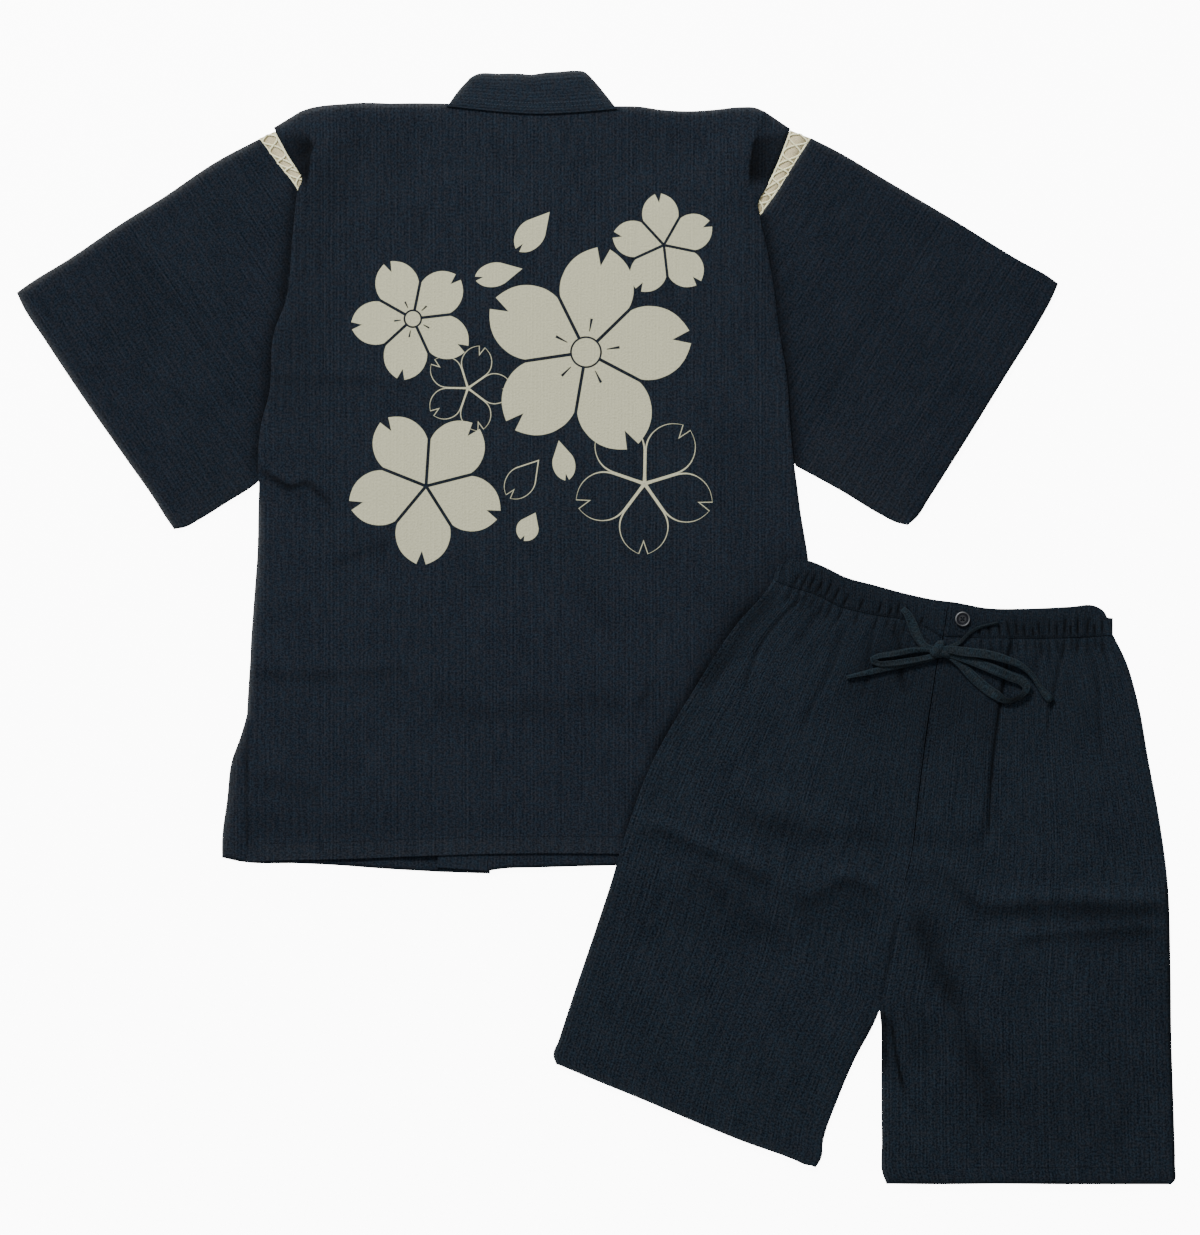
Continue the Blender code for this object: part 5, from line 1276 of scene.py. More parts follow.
def neckband():
    """The neckband along both fronts, and double behind the neck."""
    rows = spaced(790, first=(EDGE,), last=(EDGE,))
    for name, seam, top, way in (
        ("neckband_left", FRONT_LEFT_SEAM, BAND_TOP_LEFT, 1),
        ("neckband_right", FRONT_RIGHT_SEAM, BAND_TOP_RIGHT, -1),
    ):
        inner = through(seam, rows)
        slope = np.gradient(inner, axis=0)
        slope /= np.linalg.norm(slope, axis=1)[:, None]
        normal = np.stack([slope[:, 1], -slope[:, 0]], axis=-1) * way
        width = np.concatenate([[-0.7], np.linspace(0.6, BAND_WIDTH - EDGE, 14), [BAND_WIDTH]])
        plan = inner[:, None] + normal[:, None] * width[:, None]
        share = (width / BAND_WIDTH)[:, None]
        end = np.array(top[::way], float)
        last = end[0] * (1 - share) + end[1] * share
        steps = np.linspace(0, 1, 9)[1:, None, None]
        plan = np.concatenate([plan, plan[-1] * (1 - steps) + last * steps])
        if way < 0:
            plan = plan[:, ::-1]
        lift = front_lift(plan[..., 0], plan[..., 1]) if way < 0 else 0
        cloth(name, with_height(plan, BAND / 2 + lift), grid_flat(plan), ["collar"],
              1.6 * sizes().wall)
    across = spaced(172, first=(EDGE,), last=(EDGE,))
    along = np.concatenate([[0, 0.02], np.linspace(0.06, 0.92, 18), [0.955, 0.98, 1]])
    seam_line = np.array(COLLAR_SEAM, float) - (0, 1.8)
    plan = plain([seam_line[0]] + COLLAR_LEFT[1:], [seam_line[-1]] + COLLAR_RIGHT[1:], seam_line, COLLAR_TOP,
                 across, along)
    low = BAND + SEAM
    seam = LOFT - NECK_DIP + CLOTH / 2 + SEAM
    height = COLLAR / 2 + low + (seam - low) * (1 - along)
    x, y = plan[..., 0], plan[..., 1]
    height = height[:, None] + 0.8 * hills([(40, 0.3, 41), (16, 0.12, 43)], x, y) * smooth(along * 6)[:, None]
    height = height - 1.0 * (1 - np.cos(np.clip((along - 0.93) / 0.07, 0, 1) * math.pi / 2))[:, None]
    height = height - COLLAR_SINK * (1 - smooth(along / 0.12))[:, None]
    # Painted highlight along the neckband's top and ends
    cloth("neckband_back", with_height(plan, height), grid_flat(plan)[..., ::-1], ["collar"],
          1.5 * sizes().wall,
          hollow=-rims("neckband_back", x, y))


SLEEVE_ROWS = np.radians(np.arange(0, 90, 15))


def sleeve_ring():
    """Stations round a flattened tube, over its top and back below: shares of its depth and its height."""
    roll = SLEEVE_ROLL / SLEEVE_DEPTH
    out, up = (1 - np.cos(SLEEVE_ROWS)) * roll, np.sin(SLEEVE_ROWS)
    upper = np.linspace(roll, 1 - roll, round(SLEEVE_DEPTH * MM / sizes().spacing))
    lower = np.linspace(1 - roll, roll, len(upper) // 3)
    over = np.concatenate([out, upper, 1 - out[::-1], 1 - out[1:], lower, out[::-1]])
    lift = np.concatenate([up, np.ones(len(upper)), up[::-1], -up[1:], -np.ones(len(lower)), -up[::-1]])
    return over, lift


def sleeve(side, fold, under, cuff, armhole, mirror):
    """A flattened tube from its cuff to the armhole: rows along it, columns round it from the fold."""
    along = spaced(262, first=(EDGE, 3), last=(EDGE,))
    around, lift = sleeve_ring()
    plan = plain(cuff[::-1], armhole[::-1], under, fold, along, 1 - around).transpose(1, 0, 2)
    x, y = plan[..., 0], plan[..., 1]
    upper = (lift > 0) * lift
    puff = SLEEVE_PUFF * np.outer(np.sin(math.pi * (0.1 + 0.89 * along)),
                                  np.sin(math.pi * around) * (lift > 0.95))
    relief, dark = creases(SLEEVE_CREASES, x, y)
    relief = relief + hills(SLEEVE_HILLS, x, y)
    ends = smooth(along / 0.05) * smooth((1 - along) / 0.08)
    centre, half = (SLEEVE_HIGH + SLEEVE_LOW) / 2, (SLEEVE_HIGH - SLEEVE_LOW) / 2
    height = centre + lift * half + puff + np.maximum(relief, -0.6) * upper * ends[:, None]
    run = np.array(cuff[-1], float) - np.array(cuff[0], float)
    run /= np.linalg.norm(run)
    grain = np.stack([mirror * (x * run[1] - y * run[0]), x * run[0] + y * run[1]], axis=-1)
    # Painted shade in the creases and below the back panel's edge; painted highlight along the rims, and
    # painted shade at the right cuff
    cloth(f"sleeve_{side}", with_height(plan, height), grain, ["sleeve"], sizes().wall,
          tube=True,
          hollow=np.clip(dark + beside_folds(x, y, "edge"), 0, 0.8) * (upper > 0)
          - rims(f"sleeve_{side}", x, y))


def sleeves():
    sleeve("left", SLEEVE_LEFT_FOLD, SLEEVE_LEFT_UNDER, SLEEVE_LEFT_CUFF, SLEEVE_LEFT_ARMHOLE, 1)
    sleeve("right", SLEEVE_RIGHT_FOLD, SLEEVE_RIGHT_UNDER, SLEEVE_RIGHT_CUFF, SLEEVE_RIGHT_ARMHOLE, -1)


def sweep(name, path, width, height, turns=10, square=0.6, closed_ends=True, lean=0.0,
          hollow=0.0):
    """A rounded flat section carried along a path of points; it leans to a side by an angle."""
    path = np.asarray(path, float)
    width, height, lean = (np.broadcast_to(value, len(path))[:, None] for value in (width, height, lean))
    slope = np.gradient(path, axis=0)
    slope /= np.linalg.norm(slope, axis=1)[:, None]
    aside = np.cross(slope, (0, 0, 1.0))
    aside /= np.linalg.norm(aside, axis=1)[:, None]
    up = np.cross(aside, slope)
    turn = np.linspace(0, math.tau, turns + 1)
    across = np.sign(np.cos(turn)) * np.abs(np.cos(turn)) ** square * width / 2
    rise = np.sign(np.sin(turn)) * np.abs(np.sin(turn)) ** square * height / 2
    across, rise = across * np.cos(lean) - rise * np.sin(lean), rise * np.cos(lean) + across * np.sin(lean)
    points = path[:, None] + aside[:, None] * across[..., None] + up[:, None] * rise[..., None]
    far = np.concatenate([[0], np.cumsum(np.linalg.norm(np.diff(path, axis=0), axis=1))])
    grain = np.dstack(np.meshgrid(np.cumsum(np.full(turns + 1, float((width + height).max()) / turns)), far))
    return grid_mesh(name, points, grain, tube=True, closed_ends=closed_ends, hollow=hollow)[0]


def joined(name, meshes):
    """Several meshes as one; each keeps the slot of its place in the list."""
    bm = bmesh.new()
    for index, mesh in meshes:
        first = len(bm.faces)
        bm.from_mesh(mesh)
        bm.faces.ensure_lookup_table()
        for face in bm.faces[first:]:
            face.material_index = index
        bpy.data.meshes.remove(mesh)
    made = bpy.data.meshes.new(name)
    bm.to_mesh(made)
    bm.free()
    return made


def lace(side, layer, table, height):
    """A net of crossing cords between two tapes, let in between the sleeve and the body."""
    rows = np.array(table, float)
    long = np.linalg.norm(np.diff(rows[:, :2] + rows[:, 2:], axis=0), axis=1).sum() / 2
    at = np.linspace(0, 1, round(long / 1.6))
    edges = through(rows, at)
    sleeve_side, body_side = edges[:, :2], edges[:, 2:]
    tuck = body_side - sleeve_side
    tuck *= LACE_TUCK / np.linalg.norm(tuck, axis=1)[:, None]
    sleeve_side, body_side = sleeve_side - tuck, body_side + tuck
    cell = sizes().lace_cell / MM

    def line(share, z):
        plan = sleeve_side * (1 - np.asarray(share)[..., None]) + body_side * np.asarray(share)[..., None]
        return np.column_stack([plan, np.broadcast_to(z, len(plan))])

    parts = []
    for share in LACE_TAPES:
        parts.append((0, sweep("tape", line(np.full(len(at), share), height), LACE_TAPE, TAPE * 0.9, 8)))
    ground = np.stack([line(np.full(len(at), share), height - 0.6) for share in LACE_GROUND], axis=1)
    wave = at * long / cell
    for turn in (0.0, 1.0):
        share = 0.5 + LACE_SWING * np.sin(math.pi * (wave + turn + 0.10 * np.sin(2.3 * wave)))
        lift = 0.28 * np.cos(math.pi * wave) * (1 if turn else -1)
        parts.append((0, sweep("cord", line(share, height + 0.4 + lift), *LACE_THREAD, 6, square=1.0)))
    # The darker net below the cords: the lower cords and painted shade seen through the gaps
    cloth(f"lace_{side}_{layer}", ground, grid_flat(ground[..., :2]), ["lace net and shade"], 0.0003)
    name = f"lace_{side}_{layer}_net"
    dress(name, joined(name, parts), ["lace"])


def laces():
    for side, table in (("left", LACE_LEFT), ("right", LACE_RIGHT)):
        lace(side, "lower", table, TAPE / 2)
        lace(side, "upper", table, LACE_HIGH)


def ties():
    """The four ties, tucked in flat."""
    for name, (route, floor) in TIES.items():
        line = through(route, spaced(sum(np.linalg.norm(np.diff(np.array(route), axis=0), axis=1))))
        slope = np.gradient(line, axis=0)
        slope /= np.linalg.norm(slope, axis=1)[:, None]
        aside = np.stack([-slope[:, 1], slope[:, 0]], axis=-1)
        width = np.array([-0.5, -0.43, -0.2, 0.2, 0.43, 0.5]) * TIE_WIDTH
        plan = line[:, None] + aside[:, None] * width[:, None]
        cloth(name, with_height(plan, floor + TAPE / 2), grid_flat(plan), ["jacket plain"],
              1.1 * sizes().wall)


# ---------------------------------------------------------------- the shorts


def inward(edge, other):
    """The fold line beside a rolled edge."""
    way = other - edge
    return edge + way / np.linalg.norm(way, axis=1)[:, None] * ROLL


def casing_halves(rise=0.0):
    """The casing's line to the right and to the left of the fly."""
    steps = np.linalg.norm(np.diff(np.array(CASING, float), axis=0), axis=1)
    fly = steps[: CASING.index(CENTRE[-1])].sum() / steps.sum()
    halves = through(CASING, np.linspace(0, fly, 24)), through(CASING, np.linspace(fly, 1, 24))
    return [half + (0, rise) for half in halves]


def ripples(share, below, turn):
    """The gathers of the waist, at shares of its width and distances below it: height, and painted shade in
    their valleys.
    """
    high = np.zeros(np.broadcast(share, below).shape)
    dark = high.copy()
    for count, height, reach, phase in WAIST_RIPPLES:
        swing = 0.6 * np.sin(2.1 * math.pi * share + phase * turn) + 0.35 * np.sin(9 * share * turn + phase)
        ups = np.abs(np.sin(math.pi * count * share + phase * turn + 1.8 * swing))
        long = reach * (0.55 + 0.45 * np.sin(9.3 * share * turn + 3 * phase) ** 2)
        strong = (0.55 + 0.45 * np.sin(5.7 * share * turn + 2 * phase)) * smooth(1 - below / long)
        high += height * strong * (1.5 * ups**0.7 - 1.1)
        dark += 0.30 * strong * min(1, 40 / reach) * (1 - ups) ** 4
    return high, dark


def level_ground(share, below):
    """No gathers."""
    return 0 * share * below, 0 * share * below


def calm(x, y):
    """Where the gathers lie: not at the fly."""
    return smooth((np.abs(x - fly_line(y) - 20) - 32) / 16)


def shorts_panel(node, left, right, bottom, top, along, width, height, rolls, ripple, lies_on, wall, hem=None,
                 relief=None, count=None, rim=None):
    """A panel of the shorts; rolls says how far its two edges roll over to the parting in each row."""
    inner = count or round(FINER * width * MM / sizes().spacing)
    edge_left, edge_right = through(left, along), through(right, along)
    fold_left, fold_right = inward(edge_left, edge_right), inward(edge_right, edge_left)
    plan, lift = sewn(edge_left, fold_left, fold_right, edge_right, inner, top, bottom, along)
    x, y = plan[..., 0], plan[..., 1]
    level, parting = height(x, y)
    share = np.pad(np.linspace(0, 1, inner + 1), ROLL_ROWS, mode="edge")[None]
    high, dark = ripple(share, along[:, None])
    level, dark = level + high * calm(x, y) * smooth(lift), dark * calm(x, y)
    if relief is not None:
        high, more = relief(x, y)
        level, dark = level + np.maximum(high, -1.2) * smooth(lift), np.clip(dark + more, 0, 0.85)
    half = np.arange(x.shape[1]) < x.shape[1] / 2
    rolled = np.where(half, rolls[0][:, None], rolls[1][:, None])
    level = level + (parting - level) * rolled * (1 - lift)
    rolls_out = (1 - roll_stations(ROLL_ROWS)[0]) * ROLL
    beyond = np.concatenate([-rolls_out, np.zeros(inner + 1), rolls_out[::-1]])
    tall = LEG if hem is not None else BAND_TALL
    grain = np.dstack(np.broadcast_arrays(share * width + beyond, (along * tall)[:, None]))
    # Painted shade in the gathers and creases, less the painted highlight and shade along the rims
    return cloth(node, with_height(plan, level), grain, ["shorts"], wall, hem=hem,
                 hollow=dark - (rims(rim, x, y) if rim else 0))


def front_level(x, y):
    """The right front's height, and where its rolled edges end."""
    return shorts_front(x, y), shorts_floor(x, y) + PARTING + SEAM / 2 + 0.25 * waist_lift(x, y)


def fly_level(x, y):
    """The left front's: it stands up over the fly's underlap."""
    level, parting = front_level(x, y)
    return level + fly_rise(x, y), parting


def back_level(x, y):
    return shorts_floor(x, y) + CLOTH / 2, shorts_floor(x, y) + PARTING - SEAM / 2


def waist_back_level(x, y):
    return shorts_floor(x, y) + WAIST / 2 + 0.3, shorts_floor(x, y) + PARTING - SEAM / 2


def band_gathers():
    """The waistband's gathers and the seam below it, as a table of creases."""
    casing = np.array(CASING, float)
    table = [(*SEAM_GROOVE, [(x, y + 1) for x, y in CASING])]
    for x, slant, tall in BAND_GATHERS:
        y = np.interp(x, casing[:, 0], casing[:, 1])
        table.append((*BAND_GATHER, [(x, y + 1), (x + slant / 2, y + tall / 2), (x + slant, y + tall)]))
        table.append((*LEG_GATHER, [(x, y), (x - slant / 2, y - 0.6 * tall), (x - slant, y - tall)]))
    return table


def shorts_relief(x, y):
    seams = [(*INSEAM_GROOVE, CENTRE[:3])]
    high, dark = creases(SHORTS_CREASES + seams + band_gathers(), x, y)
    return high + hills(SHORTS_HILLS, x, y), dark


def band_relief(x, y):
    return creases(band_gathers() + [BAND_SHADE], x, y)


def legs():
    """The four leg panels."""
    fine = spaced(LEG, first=(EDGE, 3), last=(EDGE,), finer=FINER)
    coarse = spaced(LEG, first=(EDGE,), last=(EDGE,))[::2]
    coarse = np.unique(np.append(coarse, 1.0))
    casing_right, casing_left = casing_halves(rise=2.2)
    inner_right = INSEAM_RIGHT + CENTRE[:-1] + [tuple(casing_right[-1])]
    for side, left, right, hem, casing, level, turn in (
        ("right", OUTER_RIGHT[:-1] + [tuple(casing_right[0])], inner_right, HEM_RIGHT, casing_right,
         front_level, 1.0),
        ("left", None, OUTER_LEFT[:-1] + [tuple(casing_left[-1])], HEM_LEFT, casing_left, fly_level, 1.7),
    ):
        for panel, along, height, count in (("back", coarse, back_level, 44), ("front", fine, level, None)):
            front = panel == "front"
            centre = [(x - (FLY_OVERLAP if y > FLY_FOOT - 40 else LEG_OVERLAP), y)
                      for x, y in CENTRE[:-1] + [tuple(casing_left[0])]]
            centre = centre if front else [(x - 0.4, y) for x, y in CENTRE[:-1] + [tuple(casing_left[0])]]
            lines = INSEAM_LEFT + centre if left is None else left, right, hem, casing
            roll, whole = smooth((CROTCH_SHARE - along) / 0.04), np.ones_like(along)
            ends = (whole, roll) if side == "right" else (roll, whole)
            count_all = 1 + 2 * ROLL_ROWS + (count or round(FINER * 285 * MM / sizes().spacing))
            shares = (along * LEG < HEM_DEPTH)[:, None] * np.ones(count_all)
            shorts_panel(
                f"leg_{side}_{panel}", *lines, along, 285, height, ends,
                (lambda s, a, t=turn: ripples(s, (1 - a) * LEG, t)) if front else level_ground,
                [f"leg_{side}_back_cloth"] if front else ["jacket_back_cloth", "floor"],
                sizes().wall, hem=shares, relief=shorts_relief if front else None, count=count,
                rim=f"leg_{side}" if front else None,
            )


def waistbands():
    """The gathered waistband: two fronts and the back."""
    along = np.concatenate([[0, 0.03], np.linspace(0.08, 0.92, 13), [0.97, 1]])
    whole, none = np.ones(len(along)), np.zeros(len(along))
    casing_right, casing_left = casing_halves(rise=0.6)
    fly = [casing_right[-1], FLY_TOP]
    side_right, side_left = [casing_right[0], WAIST_TOP_RIGHT[0]], [casing_left[-1], WAIST_TOP_LEFT[-1]]
    beside_fly = [(x + 0.8, y) for x, y in fly]
    wall = sizes().waist_wall
    for side, left, right, casing, top, level, ends, turn in (
        ("right", side_right, fly, casing_right, WAIST_TOP_RIGHT, front_level, (whole, none), 1.0),
        ("left", beside_fly, side_left, casing_left, WAIST_TOP_LEFT, fly_level, (none, whole), 1.7),
    ):
        shorts_panel(f"waistband_front_{side}", left, right, casing, top, along, 285, level, ends,
                     lambda s, a, t=turn: ripples(s, 0 * a, t), ["waistband_back_cloth"], wall,
                     relief=band_relief, count=170)
    side_right, side_left = [casing_right[0], WAIST_TOP_BACK[0]], [casing_left[-1], WAIST_TOP_BACK[-1]]
    shorts_panel("waistband_back", side_right, side_left, np.array(CASING, float) + (0, 3 * SEAM),
                 WAIST_TOP_BACK, along, 570, waist_back_level, (whole, whole),
                 lambda s, a: (0.4 * ripples(s, 0 * a, 2.3)[0], 0 * s * a), ["floor"], wall, count=160)


def underlap():
    """The strip behind the fly's opening, from the crotch to the top of the waistband."""
    along, across = spaced(FLY_TOP[1] - 3 - UNDERLAP_FOOT), np.linspace(0, 1, 10)
    y = UNDERLAP_FOOT + along * (FLY_TOP[1] - 3 - UNDERLAP_FOOT)
    left = fly_line(y) + 0.8
    plan = np.stack([left[:, None] + across * UNDERLAP, np.repeat(y[:, None], 10, axis=1)], axis=-1)
    cloth("fly_underlap", with_height(plan, shorts_front(plan[..., 0], plan[..., 1])), plan, ["shorts"],
          sizes().wall)


# ---------------------------------------------------------------- drawstring and button


def string_height(x, y, over):
    lift = WAIST / 2 + GATHER_DEPTH * calm(x, y) + SEAM + TAPE / 2
    return shorts_front(x, y) + fly_rise(x, y, lead=12.0) + lift + over


def drawstring():
    """The flat drawstring: each end from the casing through the knot to its tail, two loops and the knot."""
    finishes, slot = ["cord"], "shorts"
    x, y = KNOT_LOOK
    floor = float(string_height(np.array(x), np.array(y), 0.0)) - TAPE / 2
    bm = bmesh.new()
    for across, up, turn, wide, tall, high in KNOT_LUMPS:
        place = Matrix.Translation(((x + across) * MM, (y + up) * MM, (floor + high * KNOT_SINK) * MM))
        turned = Matrix.Rotation(math.radians(turn), 4, "Z")
        size = Matrix.Diagonal((wide / 2 * MM, tall / 2 * MM, high * (1 - KNOT_SINK) * MM, 1))
        bmesh.ops.create_uvsphere(bm, u_segments=32, v_segments=18, radius=1, matrix=place @ turned @ size)
    for vert in bm.verts:
        vert.co.z = max(vert.co.z, floor * MM)
    mesh = bpy.data.meshes.new("drawstring_knot_wrap")
    bm.to_mesh(mesh)
    bm.free()
    flat = mesh.uv_layers.new(name=GRAIN).uv
    spots = np.empty(3 * len(mesh.vertices), np.float32)
    mesh.vertices.foreach_get("co", spots)
    corner = np.empty(len(mesh.loops), np.int32)
    mesh.loops.foreach_get("vertex_index", corner)
    flat.foreach_set("vector", spots.reshape(-1, 3)[corner, :2].ravel())
    knotted = dress("drawstring_knot_wrap", mesh, finishes, ["drawstring_knot"])
    for name, nodes, across, end, route in RIBBONS:
        route = np.array(route, float)
        long = np.linalg.norm(np.diff(route[:, :2], axis=0), axis=1).sum()
        line = through(route, np.linspace(0, 1, RIBBON_STEPS))
        width = 1.12 * line[:, 3]
        thick = sizes().cord_height / MM + 0.12 * np.clip(across - width, 0, 9)
        # Painted shade on the ribbons where the route gives it, deepest at the turn of a loop
        painted_ribbon_shade = np.clip(line[:, 4:], 0, 1)
        path = line[:, :3].copy()
        path[:, 2] = string_height(path[:, 0], path[:, 1], np.maximum(path[:, 2], 0))
        path[:, 2] += (thick - sizes().cord_height / MM) / 2
        lean = 0.18 * np.sin(np.linspace(0, long / 17, RIBBON_STEPS) + len(name))
        made = dress(name, sweep(name, path, width, thick, 14, lean=lean, hollow=painted_ribbon_shade), finishes, nodes)
        long = float(np.linalg.norm(np.diff(path, axis=0), axis=1).sum()) * MM


def button():
    """The button's finish, and the thread through its holes."""
    for slot in frame["nodes"]["button"].material_slots:
        slot.link = "OBJECT"
        slot.material = MATERIALS["button"]
    top = max((Vector(corner)).z for corner in frame["nodes"]["button"].bound_box)
    bm = bmesh.new()
    for turn in (45, 135):
        place = Matrix.Translation((BUTTON_AT[0] * MM, BUTTON_AT[1] * MM, top - 0.0007))
        size = Matrix.Diagonal((1.9 * MM, 0.45 * MM, 0.4 * MM, 1))
        turned = Matrix.Rotation(math.radians(turn), 4, "Z")
        bmesh.ops.create_icosphere(bm, subdivisions=2, radius=1, matrix=place @ turned @ size)
    mesh = bpy.data.meshes.new("button_thread")
    bm.to_mesh(mesh)
    bm.free()
    dress("button_thread", mesh, ["thread"])


# ---------------------------------------------------------------- sewing


def tops(names):
    """What the sewing lies on: the shown pieces, each as a tree of faces."""
    depsgraph = bpy.context.evaluated_depsgraph_get()
    return [BVHTree.FromObject(bpy.data.objects[name], depsgraph) for name in names]


def seam(name, lines, on, finish, slot, size=(2.3, 0.8, 0.45)):
    """Stitches along lines in millimetres, each lying on the cloth below it."""
    trees = tops(on)
    bm = bmesh.new()
    for line in lines:
        line = np.asarray(line, float)
        long = np.linalg.norm(np.diff(line, axis=0), axis=1).sum()
        count = max(2, round(long * MM / sizes().stitch))
        spots = through(line, (np.arange(count) + 0.5) / count)
        ways = np.gradient(spots, axis=0)
        for (x, y), (dx, dy) in zip(spots, ways):
            found = [tree.ray_cast(Vector((x * MM, y * MM, 0.1)), Vector((0, 0, -1))) for tree in trees]
            found = [(hit[0], hit[1]) for hit in found if hit[0] is not None]
            if not found:
                continue
            place, up = max(found, key=lambda hit: hit[0].z)
            ahead = Vector((dx, dy, 0))
            ahead = (ahead - up * ahead.dot(up)).normalized()
            turn = Matrix((ahead, up.cross(ahead), up)).transposed().to_4x4()
            scale = Matrix.Diagonal((size[0] / 2 * MM, size[1] / 2 * MM, size[2] / 2 * MM, 1))
            lift = Matrix.Translation(place + up * size[2] * 0.12 * MM)
            bmesh.ops.create_icosphere(bm, subdivisions=1, radius=1, matrix=lift @ turn @ scale)
    mesh = bpy.data.meshes.new(name)
    bm.to_mesh(mesh)
    bm.free()
    return dress(name, mesh, [finish])


def beside(line, distance):
    """A line at a distance to the left of the way that it runs."""
    line = through(line, np.linspace(0, 1, 40))
    slope = np.gradient(line, axis=0)
    slope /= np.linalg.norm(slope, axis=1)[:, None]
    return line + np.stack([-slope[:, 1], slope[:, 0]], axis=-1) * distance


def sewing():
    """The stitching that shows: hems, cuffs, neckband and casing."""
    hem = beside(BACK_HEM, HEM_DEPTH - 1.5)[1:-1]
    seam("stitching_back_hem", [hem], ["jacket_back_cloth"], "thread", "jacket")
    for side, cuff, way in (("left", SLEEVE_LEFT_CUFF, 1), ("right", SLEEVE_RIGHT_CUFF, -1)):
        line = beside(cuff, 20.0 * way)[2:-2]
        seam(f"stitching_cuff_{side}", [line], [f"sleeve_{side}_cloth"], "thread", "sleeve")
    neck = [beside(COLLAR_SEAM, away)[1:-1] for away in (5.0, 9.0)]
    seam("stitching_neckband", neck, ["neckband_back_cloth"], "thread light", "collar")
    for side, line in (("right", HEM_RIGHT), ("left", HEM_LEFT)):
        seam(f"stitching_leg_{side}", [beside(line, HEM_DEPTH - 2)[2:-2]], [f"leg_{side}_front_cloth"],
             "thread", "shorts")
    halves = casing_halves(rise=3.0)
    seam("stitching_casing", [half[1:-1] for half in halves],
         ["waistband_front_right_cloth", "waistband_front_left_cloth"], "thread", "shorts")


# ---------------------------------------------------------------- the stage


def stage():
    """A pale floor, a broad soft light overhead and a camera straight above."""
    scene = bpy.context.scene
    camera = bpy.data.cameras.new("camera")
    camera.sensor_fit = "HORIZONTAL"
    camera.sensor_width = 36
    camera.lens = camera.sensor_width * CAMERA_HEIGHT / VIEW_WIDTH
    camera.clip_end = 100
    eye = bpy.data.objects.new("camera", camera)
    eye.location = (VIEW_MIDDLE[0] * MM, VIEW_MIDDLE[1] * MM, CAMERA_HEIGHT)
    scene.collection.objects.link(eye)
    scene.camera = eye
    bm = bmesh.new()
    bmesh.ops.create_grid(bm, x_segments=1, y_segments=1, size=9)
    bmesh.ops.translate(bm, verts=bm.verts, vec=(0, 0, -0.0004))
    mesh = bpy.data.meshes.new("floor")
    bm.to_mesh(mesh)
    bm.free()
    made, n, shader = new_material("studio floor")
    shader.inputs["Base Color"].default_value = (*colours().floor, 1)
    shader.inputs["Roughness"].default_value = 0.9
    seen = n.add("ShaderNodeLightPath").outputs["Is Camera Ray"]
    n.feed(shader.inputs["Emission Color"], n.mix(seen, (0, 0, 0, 1), (1, 1, 1, 1)))
    shader.inputs["Emission Strength"].default_value = FLOOR_GLOW
    mesh.materials.append(made)
    floor = bpy.data.objects.new("floor", mesh)
    scene.collection.objects.link(floor)
    for name, place, size, power in LIGHTS:
        light = bpy.data.lights.new(name, "AREA")
        light.shape = "DISK"
        light.size = size
        light.energy = power
        lamp = bpy.data.objects.new(name, light)
        lamp.location = place
        lamp.rotation_euler = (-Vector(place)).to_track_quat("-Z", "Y").to_euler()
        scene.collection.objects.link(lamp)
    world = bpy.data.worlds.new("room")
    world.use_nodes = True
    sky = world.node_tree.nodes["Background"]
    sky.inputs["Color"].default_value = (1, 1, 1, 1)
    sky.inputs["Strength"].default_value = ROOM_LIGHT
    scene.world = world


CAMERA_HEIGHT = 6.0
VIEW_WIDTH = 1.2
VIEW_MIDDLE = (4.0, 10.5)
FLOOR_GLOW = 10.0
ROOM_LIGHT = 0.55
LIGHTS = [("soft light", (-1.7, 4.3, 3.2), 1.4, 445.0)]


# ---------------------------------------------------------------- operators and panel


class JINBEI_OT_stage(bpy.types.Operator):
    """Set the camera, the floor and the soft light"""

    bl_idname = "jinbei.stage"
    bl_label = "Stage"

    def execute(self, context):
        stage()
        return {"FINISHED"}


class JINBEI_OT_materials(bpy.types.Operator):
    """Make the cloth, print, lace, thread and button finishes"""

    bl_idname = "jinbei.materials"
    bl_label = "Finishes"

    def execute(self, context):
        make_materials()
        return {"FINISHED"}


class JINBEI_OT_drawstring(bpy.types.Operator):
    """Lay the flat drawstring with its knot, loops and tails"""

    bl_idname = "jinbei.drawstring"
    bl_label = "Drawstring"

    def execute(self, context):
        drawstring()
        return {"FINISHED"}


class JINBEI_OT_jacket_back(bpy.types.Operator):
    """Make the printed back panel"""

    bl_idname = "jinbei.jacket_back"
    bl_label = "Jacket back"

    def execute(self, context):
        jacket_back()
        return {"FINISHED"}


class JINBEI_OT_jacket_fronts(bpy.types.Operator):
    """Make the two fronts and the ties tucked between them"""

    bl_idname = "jinbei.jacket_fronts"
    bl_label = "Jacket fronts"

    def execute(self, context):
        jacket_fronts()
        ties()
        return {"FINISHED"}


class JINBEI_OT_neckband(bpy.types.Operator):
    """Make the neckband along the fronts and behind the neck"""

    bl_idname = "jinbei.neckband"
    bl_label = "Neckband"

    def execute(self, context):
        neckband()
        return {"FINISHED"}


class JINBEI_OT_sleeves(bpy.types.Operator):
    """Make the two flattened sleeves"""

    bl_idname = "jinbei.sleeves"
    bl_label = "Sleeves"

    def execute(self, context):
        sleeves()
        return {"FINISHED"}


class JINBEI_OT_lace(bpy.types.Operator):
    """Net the lace that is let in at the armholes"""

    bl_idname = "jinbei.lace"
    bl_label = "Lace"

    def execute(self, context):
        laces()
        return {"FINISHED"}


class JINBEI_OT_legs(bpy.types.Operator):
    """Make the four leg panels of the shorts"""

    bl_idname = "jinbei.legs"
    bl_label = "Legs"

    def execute(self, context):
        legs()
        return {"FINISHED"}


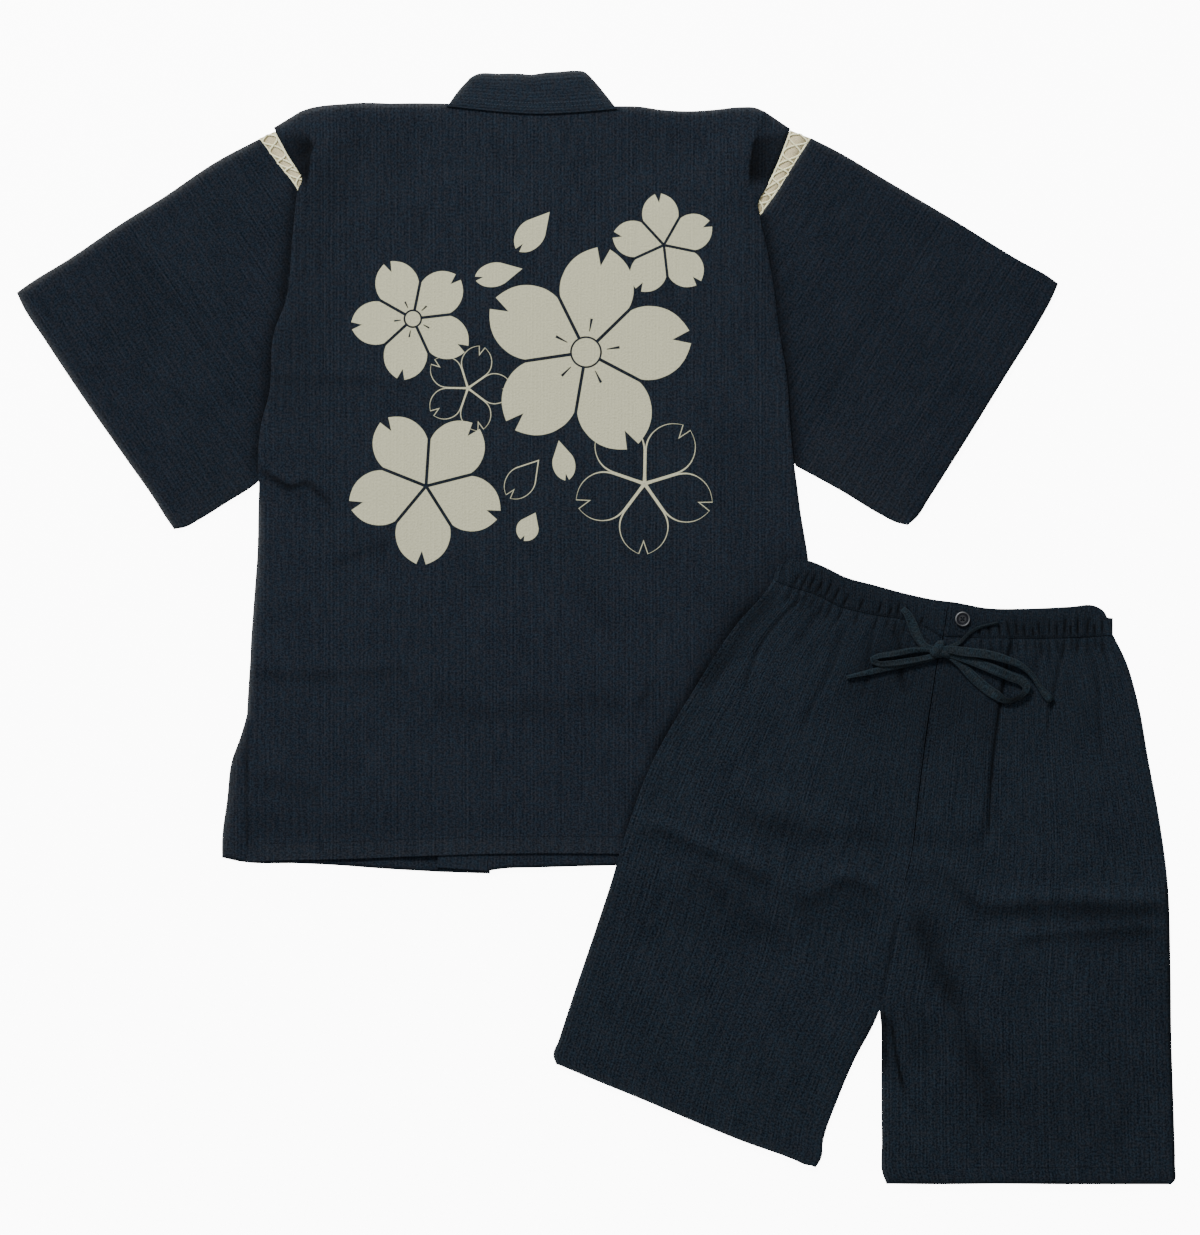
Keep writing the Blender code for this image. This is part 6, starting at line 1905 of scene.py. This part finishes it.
class JINBEI_OT_waistband(bpy.types.Operator):
    """Make the gathered waistband and the strip behind the fly"""

    bl_idname = "jinbei.waistband"
    bl_label = "Waistband"

    def execute(self, context):
        waistbands()
        underlap()
        return {"FINISHED"}


class JINBEI_OT_button(bpy.types.Operator):
    """Finish the waistband's button"""

    bl_idname = "jinbei.button"
    bl_label = "Button"

    def execute(self, context):
        button()
        return {"FINISHED"}


class JINBEI_OT_sewing(bpy.types.Operator):
    """Sew the hems, cuffs, neckband and casing"""

    bl_idname = "jinbei.sewing"
    bl_label = "Sewing"

    def execute(self, context):
        sewing()
        return {"FINISHED"}


class JINBEI_PT_panel(bpy.types.Panel):
    """Sizes, colours and the making of each piece."""

    bl_idname = "JINBEI_PT_panel"
    bl_label = "Jinbei"
    bl_space_type = "VIEW_3D"
    bl_region_type = "UI"
    bl_category = "Jinbei"

    def draw(self, context):
        layout = self.layout
        for group in (context.scene.jinbei_sizes, context.scene.jinbei_colours):
            box = layout.box()
            for name in type(group).__annotations__:
                box.prop(group, name)
        for step in STEPS:
            layout.operator(step.bl_idname)


STEPS = (
    JINBEI_OT_stage,
    JINBEI_OT_materials,
    JINBEI_OT_drawstring,
    JINBEI_OT_jacket_back,
    JINBEI_OT_jacket_fronts,
    JINBEI_OT_neckband,
    JINBEI_OT_sleeves,
    JINBEI_OT_lace,
    JINBEI_OT_legs,
    JINBEI_OT_waistband,
    JINBEI_OT_button,
    JINBEI_OT_sewing,
)
CLASSES = (JinbeiSizes, JinbeiColours, *STEPS, JINBEI_PT_panel)


def register():
    for made in CLASSES:
        bpy.utils.register_class(made)
    bpy.types.Scene.jinbei_sizes = PointerProperty(type=JinbeiSizes)
    bpy.types.Scene.jinbei_colours = PointerProperty(type=JinbeiColours)


def unregister():
    del bpy.types.Scene.jinbei_colours
    del bpy.types.Scene.jinbei_sizes
    for made in reversed(CLASSES):
        bpy.utils.unregister_class(made)


def main():
    register()
    for step in STEPS:
        getattr(bpy.ops.jinbei, step.bl_idname.split(".")[1])()


if __name__ == "__main__":
    main()
